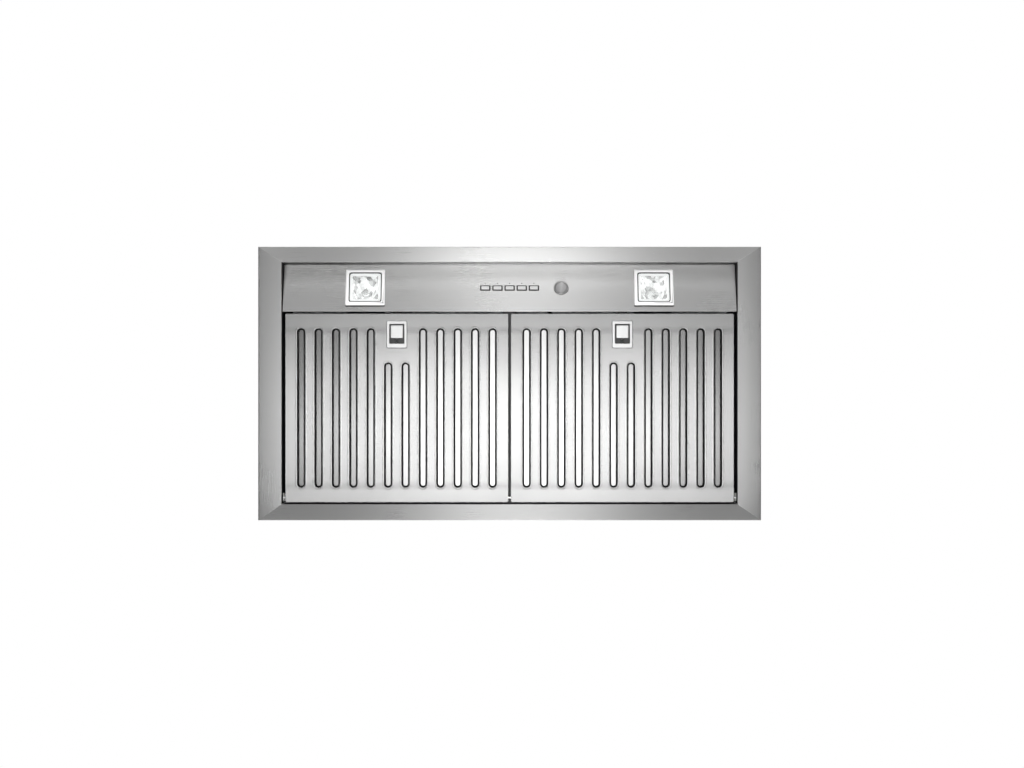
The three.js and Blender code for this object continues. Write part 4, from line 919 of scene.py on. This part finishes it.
filterShape = {
    "sheet": 0.8,
    "edge": 0.6,
    "corner": 3.0,
    "thickness": 19.0,
    "slotCount": 12,
    "slotPitch": 30.25,
    "slotClear": 8.3,
    "slotMargin": 25.0,
    "shortMargin": 84.5,
    "lipWidth": 3.2,
    "lipStart": 28,  # degrees: how steeply the lip leaves the face
    "swell": 0.06,  # the face stands proud beside a lip
    "swellWidth": 2.6,
    "swellGap": 0.12,
    "slotSteps": 12,
    "shadeStart": 0.01,  # a lip's painted shade starts this far above the face
    "shadeOver": 0.12,
    "shadeInset": 6.0,
    "seatGap": 0.3,
    "rearHeight": 14.0,
    "rearBend": 1.2,
    "rearOpening": 12.0,
    "collarFold": 0.8,
    "collarDepth": 5.0,
}
latchShape = {
    "margin": 13.0,
    "half": (17.5, 23.25),
    "corner": 2.0,
    "edgeRound": 0.7,
    "plate": 1.5,
    "seat": 0.3,  # the frame stands this far off the filter's face, on a thin dark sheet that is a painted shadow
    "seatOut": 0.6,
    "seatDown": 0.25,
    "seatSheet": 0.26,
    "windowHalf": (13.0, 17.2),
    "windowOffset": -1.25,
    "windowCorner": 1.0,
    "windowRound": 0.5,
    "seatCut": 0.8,  # the painted shadow sheet ends this far outside the window
    "cutGap": 0.3,  # the filter's cut-out ends this far outside the collar
    "cutCorner": 2.0,
    "collar": 1.0,
    "collarTop": 3.5,
    "catchHalf": (10.7, 11.2),
    "catchGap": 2.4,
    "catchFace": -1.0,
    "catchRound": (1.5, 1.0, 0.2),  # radius of its corners, of its edge at the face and of the one behind
    "catchInto": 0.5,
    "carriage": (5.5, 8.0),
    "carriageSide": 3.5,
    "carriageRound": 0.6,
    "boltHalf": 8.0,
    "boltBevel": 1.5,
    "boltTip": 1.0,
    "boltInto": 1.0,
    "boltEdge": 0.25,
    "lug": (2.2, 0.5, 0.3),  # half sizes and corner radius
    "lugInto": 0.3,
}


# the painted shade mark of the rolled lips: 0 on the face and 1 a little above it; the rim has none
def lipShade(points, low, high):
    s = filterShape
    inset = s["shadeInset"]
    depth = np.clip((points[:, 2] - low[2] - s["shadeStart"]) / s["shadeOver"], 0, 1)
    within = (points[:, :2] > low[:2] + inset).all(1) & (points[:, :2] < high[:2] - inset).all(1)
    return depth * within


# front and rear end of what stands at this place across the filter: shorter where the latch is
def slotEnds(offset, halfY):
    s = filterShape
    front = (s["shortMargin"] if abs(offset) < 1 else s["slotMargin"]) - halfY
    return front, halfY - s["slotMargin"]


# a slot's section: the face swells a little, then rolls up into the filter on an arc that ends upright
def slotSection():
    s = filterShape
    lipHalf = s["slotClear"] / 2 + s["lipWidth"]
    turn = math.radians(s["lipStart"])
    radius = s["lipWidth"] / (1 - math.sin(turn))
    angle = np.linspace(turn, np.pi / 2, 10)
    rollOut = s["slotClear"] / 2 + radius * (1 - np.sin(angle))
    roll = np.stack([rollOut, radius * (math.cos(turn) - np.cos(angle))], 1)
    swell = np.linspace(1, 0, 7)
    swellOut = lipHalf + s["swellGap"] + s["swellWidth"] * swell
    rise = np.stack([swellOut, -s["swell"] * np.sin(np.pi * swell) ** 2], 1)
    return lipHalf, np.concatenate([[(rise[0, 0] + flatHold, 0)], rise, roll])


# the front baffle: a tray whose face has twelve slots with rolled edges, and a cut-out for the latch
def buildFilter(name):
    s, k, title = filterShape, latchShape, name.capitalize()
    low, high = limits(f"filter_{name}_front_baffle")
    middle = (low + high) / 2
    halfX, halfY = (high - low)[:2] / 2

    def place(points):  # from the filter's own frame to the world
        return points + np.array([middle[0], middle[1], low[2]])

    surface = Surface()
    start = s["corner"] - s["edge"]
    bend = arc((start, s["edge"]), s["edge"], -90, 0, foldSteps)
    profile = np.concatenate([[(start - smallHold, 0)], bend, [(s["corner"], s["edge"] + flatHold)],
                              [(s["corner"], s["thickness"])]])
    rings = carry(rectPath(halfX - s["corner"], halfY - s["corner"], 6), profile)
    surface.grid(rings, closeColumns=True)
    outline = plan(rings[0])
    lipHalf, slotProfile = slotSection()
    holes = []
    for i in range(s["slotCount"]):
        offset = i - (s["slotCount"] - 1) / 2
        front, rear = slotEnds(offset, halfY)
        path = slotPath(rear - front - 2 * lipHalf, s["slotSteps"])
        rings = carry(path, slotProfile, (offset * s["slotPitch"], (front + rear) / 2))
        surface.grid(rings, closeColumns=True)
        holes.append(plan(rings[0]))
    latchY = k["margin"] + k["half"][1] - halfY
    windowY = latchY + k["windowOffset"]
    corner = k["cutCorner"]
    cutX, cutY = (half + k["collar"] + k["cutGap"] - corner for half in k["windowHalf"])
    holes.append(plan(carry(rectPath(cutX, cutY, 3), [(corner, 0)], (0, windowY))[0]))
    surface.sheet(outline, holes, level(0))
    face = makePiece(f"filter{title}Face", surface, f"filter_{name}", filterSteel,
                     [f"filter_{name}_front_baffle"], place=place, sheet=s["sheet"], facing=(0, 0, -1))
    markShade(face, lambda points: lipShade(points, low, high))
    buildRearBaffle(name, title, place, halfX, halfY)
    buildLatchFrame(name, title, place, latchY, windowY)
    buildLatchCatch(name, title, place, windowY)


# the rear baffle: a tray whose openings face the strips between the slots, each with a folded collar
def buildRearBaffle(name, title, place, halfX, halfY):
    s = filterShape
    inset, corner, base = s["sheet"] + s["seatGap"], s["corner"] - s["sheet"], s["rearHeight"]
    turn, fold = s["rearBend"], s["collarFold"]
    surface = Surface()
    bend = arc((corner - turn, base + turn), turn, -90, 0, 5)
    profile = np.concatenate([[(corner - turn - flatHold, base)], bend, [(corner, base + turn + flatHold)],
                              [(corner, s["thickness"])]])
    rings = carry(rectPath(halfX - inset - corner, halfY - inset - corner, 4), profile)
    surface.grid(rings, closeColumns=True)
    outline = plan(rings[0])
    holes = []
    bend = arc((fold + s["sheet"], base - fold), fold, 90, 180, 4)
    profile = np.concatenate([[(fold + s["sheet"] + flatHold, base)], bend,
                              [(s["sheet"], base - s["collarDepth"])]])
    for i in range(s["slotCount"] - 1):
        offset = i - (s["slotCount"] - 2) / 2
        front, rear = slotEnds(offset, halfY)
        mouth = rectPath(s["rearOpening"] / 2, (rear - front) / 2, 3)
        rings = carry(mouth, profile, (offset * s["slotPitch"], (rear + front) / 2))
        surface.grid(rings, closeColumns=True)
        holes.append(plan(rings[0]))
    surface.sheet(outline, holes, level(base))
    makePiece(f"filter{title}RearBaffle", surface, f"filter_{name}", rearFilterSteel,
              [f"filter_{name}_rear_baffle"], place=place, sheet=s["sheet"], facing=(0, 0, -1))


# the latch's frame: an outer plate with rounded edges and a window whose wall goes through the sheet, on a
# thin dark sheet, a painted shadow that shows as a line round it
def buildLatchFrame(name, title, place, latchY, windowY):
    k = latchShape
    back, face = -k["seat"], -k["seat"] - k["plate"]
    corner, bend = k["corner"], k["edgeRound"]
    halfX, halfY = (half - corner for half in k["half"])
    profile = np.concatenate([[(corner, back)], arc((corner - bend, face + bend), bend, 0, -90, 5),
                              [(corner - bend - smallHold, face)]])
    outer = carry(rectPath(halfX, halfY, 5), profile, (0, latchY))
    corner, bend = k["windowCorner"], k["windowRound"]
    windowX, windowLong = (half - corner for half in k["windowHalf"])
    profile = np.concatenate([[(corner + bend + smallHold, face)],
                              arc((corner + bend, face + bend), bend, -90, -180, 4),
                              [(corner, k["collarTop"]), (corner + k["collar"], k["collarTop"]),
                               (corner + k["collar"], back)]])
    inner = carry(rectPath(windowX, windowLong, 4), profile, (0, windowY))
    plate = Surface()
    plate.grid(outer, closeColumns=True)
    plate.grid(inner, closeColumns=True)
    plate.sheet(plan(outer[-1]), [plan(inner[0])], level(face))
    plate.sheet(plan(outer[0]), [plan(inner[-1])], level(back))
    makePiece(f"filter{title}LatchFrame", plate, f"filter_{name}", satin,
              [f"filter_{name}_latch_frame"], place=place, sharp=30)
    # a thin dark sheet under the frame: a painted shadow round its edge
    cutX, cutY = (half + k["seatCut"] for half in k["windowHalf"])
    cut = carry(rectPath(cutX, cutY, 1), [(1, 0)], (0, windowY))
    edge = carry(rectPath(halfX, halfY, 5), [(k["corner"] + k["seatOut"], 0)], (0, latchY + k["seatDown"]))
    seat = Surface()
    seat.sheet(plan(edge[0]), [plan(cut[0])], level(0.01 - k["seat"]))
    makePiece(f"filter{title}LatchShadowSeat", seat, f"filter_{name}", darkPlastic, place=place,
              sheet=k["seatSheet"], facing=(0, 0, -1))


# the catch: a finger block with rounded edges on a carriage with a bevelled bolt
def buildLatchCatch(name, title, place, windowY):
    k = latchShape
    front = windowY - k["windowHalf"][1] + k["catchGap"]
    rear = front + 2 * k["catchHalf"][1]
    base, top = k["carriage"]
    origin = place(np.zeros(3))
    catchLow, catchHigh = (v - origin for v in limits(f"filter_{name}_latch_catch"))
    corner, faceEdge, backEdge = k["catchRound"]
    catch = block(*k["catchHalf"], corner, k["catchFace"], top - k["catchInto"], faceEdge, backEdge,
                  centre=(0, (front + rear) / 2))
    carriageHalf = k["catchHalf"][0] + k["carriageSide"]
    carriageFront = front - k["carriageSide"]
    nose, boltRear = catchLow[1], carriageFront + k["boltInto"]
    section = np.array([(nose, top), (nose, top - k["boltTip"]), (nose + k["boltBevel"], base),
                        (boltRear, base), (boltRear, top)])
    ends = [np.column_stack([np.full(5, x), section]) for x in (-k["boltHalf"], k["boltHalf"])]
    bolt = Surface()
    closedTube(bolt, np.stack(ends))
    bolt.add(block(carriageHalf, (rear - carriageFront) / 2, k["carriageRound"], base, top, 0.3, 0.3, 2,
                   centre=(0, (rear + carriageFront) / 2)))
    # the bolt and its carriage are near-black steel: painted shade in the window round the catch
    makePiece(f"filter{title}LatchBolt", bolt, f"latch_{name}", oiledSteel,
              [f"filter_{name}_latch_catch"], place=place, sharp=30, bevel=k["boltEdge"])
    lugY = rear - k["lug"][1]
    catch.add(block(*k["lug"], top - k["lugInto"], catchHigh[2], 0.1, 0.2, 2, centre=(0, lugY)))
    makePiece(f"filter{title}LatchCatch", catch, f"latch_{name}", satin,
              [f"filter_{name}_latch_catch"], place=place, sharp=35)


springShape = {"wire": 0.35, "turns": 6, "turnSteps": 24, "wireSides": 8}


# the latch spring: a round wire carried along a coil, radius times (cos, sin) of an angle that grows with y
def buildSpring(name):
    s = springShape
    wire, turns = s["wire"], s["turns"]
    low, high = limits(f"filter_{name}_latch_spring")
    middle = (low + high) / 2
    radius = (high[0] - low[0]) / 2 - wire
    length = high[1] - low[1]
    angle = np.linspace(0, 2 * np.pi * turns, s["turnSteps"] * turns + 1)
    out = np.stack([np.cos(angle), np.zeros_like(angle), np.sin(angle)], 1)
    slope = (length - 2 * wire) / angle[-1]
    path = middle + radius * out
    path[:, 1] = low[1] + wire + slope * angle
    along = np.stack([-radius * np.sin(angle), np.full_like(angle, slope), radius * np.cos(angle)], 1)
    along /= np.linalg.norm(along, axis=1)[:, None]
    across = np.cross(along, out)
    turn = np.linspace(0, 2 * np.pi, s["wireSides"], endpoint=False)[None, :, None]
    coil = Surface()
    closedTube(coil, path[:, None] + wire * (np.cos(turn) * out[:, None] + np.sin(turn) * across[:, None]))
    piece = makePiece(f"filter{name.capitalize()}LatchSpring", coil, f"filter_{name}",
                      springSteel, [f"filter_{name}_latch_spring"])
    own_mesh(piece)


for name, _ in sides:
    buildFilter(name)
    buildSpring(name)
print("filters made")

screwShape = {
    "washer": 5.2,
    "washerSheet": 0.5,
    "head": 3.9,
    "rise": 3.2,
    "panX": (-376, -188, 0, 188, 376),
    "panInset": 9.0,
    "panSheet": 1.2,
    "blowerX": (-172, 172),
    "blowerY": (-120, 10, 140),
    "sheet": 1.0,
    "coverInset": 8.0,
    "coverColumns": 4,
    "collarReach": 82.0,
    "collarAngles": (45, 135, 225, 315),
    "lidInset": 9.0,
}


# a hex head on a round washer, with a hollow in its middle; axis is the way it points
def addScrew(surface, centre, axis):
    s = screwShape
    outer, head, rise, flat = s["washer"], s["head"], s["rise"], s["washerSheet"]
    washer = turned([(0.3, 0), (outer, 0), (outer, flat), (outer - 0.5, flat + 0.4), (head, flat + 0.45)], 24)
    hexHead = turned([(head, flat + 0.4), (head, rise - 0.5), (head - 0.5, rise), (head - 1.3, rise),
                      (head - 1.8, rise - 0.6), (0.1, rise - 0.6)], 6)
    way = np.array(axis, float)
    side = np.array([0, 0, 1.0]) if abs(way[2]) < 0.5 else np.array([1.0, 0, 0])
    basis = np.stack([side, np.cross(way, side), way])
    for rings in (washer, hexHead):
        closedTube(surface, rings @ basis + np.array(centre, float))


def buildScrews():
    s = screwShape
    up, front = (0, 0, 1), (0, -1, 0)
    panLow, panHigh = limits("top_pan")
    boxLow, boxHigh = limits("blower_box")
    coverLow, coverHigh = limits("blower_cover")
    collarLow, collarHigh = limits("duct_collar")
    lidLow, lidHigh = limits("junction_box_cover")
    middle = (collarLow + collarHigh) / 2
    inset, lidInset = s["coverInset"], s["lidInset"]
    coverX = np.linspace(coverLow[0] + inset, coverHigh[0] - inset, s["coverColumns"])
    around = [s["collarReach"] * np.array([math.cos(a), math.sin(a)]) for a in np.radians(s["collarAngles"])]
    groups = {
        "panScrews": (up, [(x, y, panLow[2] + s["panSheet"]) for x in s["panX"]
                           for y in (panLow[1] + s["panInset"], panHigh[1] - s["panInset"])]),
        "blowerScrews": (up, [(x, y, boxLow[2] + s["sheet"]) for x in s["blowerX"] for y in s["blowerY"]]),
        "coverScrews": (front, [(x, coverLow[1], z) for x in coverX
                                for z in (coverLow[2] + inset, coverHigh[2] - inset)]),
        "collarScrews": (up, [(middle[0] + x, middle[1] + y, collarLow[2] + s["sheet"]) for x, y in around]),
        "junctionScrews": (up, [(lidLow[0] + lidInset, lidLow[1] + lidInset, lidHigh[2]),
                                (lidHigh[0] - lidInset, lidHigh[1] - lidInset, lidHigh[2])]),
    }
    for name, (axis, places) in groups.items():
        surface = Surface()
        for centre in places:
            addScrew(surface, centre, axis)
        makePiece(name, surface, "liner", screwSteel, sharp=30)
    print("screws made")


buildScrews()

roundNodes = ("scroll_housing", "inlet_ring_left", "inlet_ring_right", "duct_collar", "fan_motor",
              "damper_pin", "lamp_cable_left", "lamp_cable_right", "switch_cable")


# the CAD node's shape as a merged copy, whose facets shade as one curve
def smoothCopy(node):
    mesh = nodes[node].data.copy()
    work = bmesh.new()
    work.from_mesh(mesh)
    mergePoints(work)
    work.to_mesh(mesh)
    work.free()
    shadeRound(mesh, 35)
    first, *others = node.split("_")
    piece = bpy.data.objects.new(first + "".join(word.capitalize() for word in others) + "Round", mesh)
    bpy.context.scene.collection.objects.link(piece)
    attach(piece, nodes[node]["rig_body"])
    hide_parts(node)


for row in frame["record"]["subparts"]:
    if row["node"] in roundNodes:
        smoothCopy(row["node"])
print("round pieces made")

studio = {
    "floorZ": -5.6,
    "floorHalf": 40.0,
    "floorDark": 0.05,
    "worldDiffuse": 1.05,
    "glossHorizon": 0.1,  # polished metal mirrors a world that rises from this to glossTop
    "glossTop": 0.85,
    "glossRise": 0.8,
    "lampSize": (3.0, 3.0),
    "lampAim": (0, 0, 0.1),
    "lamps": {"softAbove": ((-1.5, -2.0, 3.2), 60.0), "fillAbove": ((2.4, 1.8, 2.6), 30.0)},  # place, power
    # what polished metal mirrors on the floor: where, how far it reaches, its flat part and its strength
    "cards": (
        {"centre": (0.0, -0.4), "reach": (2.0, 3.0), "flat": 0.5, "strength": 0.15},
        {"centre": (-1.35, -1.1), "reach": (0.65, 0.75), "flat": 0.4, "strength": 2.7},
        {"centre": (1.35, -1.1), "reach": (0.65, 0.75), "flat": 0.4, "strength": 2.5},
        {"centre": (0.02, 0.1), "reach": (0.45, 0.75), "flat": 0.76, "strength": 4.2},
        {"centre": (0.03, 0.2), "reach": (1.4, 0.36), "flat": 0.1, "strength": 2.2},
        {"centre": (0.0, 0.2), "reach": (0.46, 0.36), "flat": 0.2, "strength": 3.8},
        {"centre": (0.0, -6.4), "reach": (4.0, 4.6), "flat": 0.5, "strength": 0.84},
        {"centre": (0.06, -6.4), "reach": (0.42, 4.6), "flat": 0.25, "strength": 1.9},
        {"centre": (0.0, 6.6), "reach": (4.0, 4.6), "flat": 0.5, "strength": 2.1},
        {"centre": (0.05, 6.6), "reach": (0.44, 4.6), "flat": 0.35, "strength": 6.6},
    ),
}


# a bright card on the floor: full strength in its flat middle, and a smooth fall to nothing at its reach
def cardGroup():
    group, given, out = newGroup(
        "brightCard",
        (("Position", "Vector"), ("Centre", "Vector"), ("Reach", "Vector"), ("Flat", "Float"),
         ("Strength", "Float")),
        (("Amount", "Float"),),
    )
    away = addNode(group, "VectorMath", {0: given["Position"], 1: given["Centre"]}, operation="SUBTRACT")
    scaled = addNode(group, "VectorMath", {0: away.outputs[0], 1: given["Reach"]}, operation="DIVIDE")
    far = addNode(group, "VectorMath", {0: scaled.outputs[0]}, operation="LENGTH").outputs["Value"]
    amount = rescale(group, far, given["Flat"], 1, given["Strength"], 0, "SMOOTHSTEP")
    feed(group, out, {"Amount": amount})
    return group


# picks one shader for camera and transmission rays, one for glossy rays and one for the rest
def lightMix(tree, seen, gloss, other):
    path = addNode(tree, "LightPath", {}).outputs
    unseen = addNode(tree, "MixShader", {"Fac": path["Is Glossy Ray"], 1: other, 2: gloss}).outputs[0]
    straight = calculate(tree, "MAXIMUM", path["Is Camera Ray"], path["Is Transmission Ray"])
    return addNode(tree, "MixShader", {"Fac": straight, 1: unseen, 2: seen}).outputs[0]


def buildFloor():
    s = studio
    half, z = s["floorHalf"], s["floorZ"]
    mesh = bpy.data.meshes.new("floor")
    corners = [(-half, -half, z), (half, -half, z), (half, half, z), (-half, half, z)]
    mesh.from_pydata(corners, [], [(0, 1, 2, 3)])
    floor = bpy.data.objects.new("floor", mesh)
    bpy.context.scene.collection.objects.link(floor)
    material, tree, shader = newMaterial("paleFloor")
    tree.nodes.remove(shader)
    place = objectPlace(tree)
    total = s["floorDark"]
    for card in s["cards"]:
        values = {"Position": place, "Centre": (*card["centre"], z), "Reach": (*card["reach"], 1),
                  "Flat": card["flat"], "Strength": card["strength"]}
        spot = addNode(tree, "Group", values, node_tree=brightCard)
        total = calculate(tree, "ADD", spot.outputs["Amount"], total)
    seen = addNode(tree, "Emission", {"Strength": 1}).outputs[0]
    gloss = addNode(tree, "Emission", {"Strength": total}).outputs[0]
    other = addNode(tree, "BsdfDiffuse", {"Color": (0.9, 0.9, 0.9, 1)}).outputs[0]
    feed(tree, tree.nodes["Material Output"], {"Surface": lightMix(tree, seen, gloss, other)})
    mesh.materials.append(material)


def buildWorld():
    s = studio
    white = (1, 1, 1, 1)
    world = bpy.data.worlds.new("studio")
    bpy.context.scene.world = world
    world.use_nodes = True
    tree = world.node_tree
    seen = tree.nodes["Background"]
    feed(tree, seen, {"Color": white})
    way = addNode(tree, "TexCoord", {}).outputs["Generated"]
    up = addNode(tree, "SeparateXYZ", {0: way}).outputs["Z"]
    rise = rescale(tree, up, 0, s["glossRise"], s["glossHorizon"], s["glossTop"], "SMOOTHSTEP")
    gloss = addNode(tree, "Background", {"Color": white, "Strength": rise}).outputs[0]
    other = addNode(tree, "Background", {"Color": white, "Strength": s["worldDiffuse"]}).outputs[0]
    feed(tree, tree.nodes["World Output"], {"Surface": lightMix(tree, seen.outputs[0], gloss, other)})


def areaLamp(name, place, power):  # a square lamp that looks at the hood's middle
    data = bpy.data.lights.new(name, "AREA")
    data.shape = "RECTANGLE"
    data.size, data.size_y = studio["lampSize"]
    data.energy = power
    lamp = bpy.data.objects.new(name, data)
    lamp.location = place
    way = Vector(studio["lampAim"]) - Vector(place)
    lamp.rotation_euler = way.to_track_quat("-Z", "Y").to_euler()
    lamp.visible_camera = False
    bpy.context.scene.collection.objects.link(lamp)


brightCard = cardGroup()
buildFloor()
buildWorld()
for name, (place, power) in studio["lamps"].items():
    areaLamp(name, place, power)
print("stage and lights made")
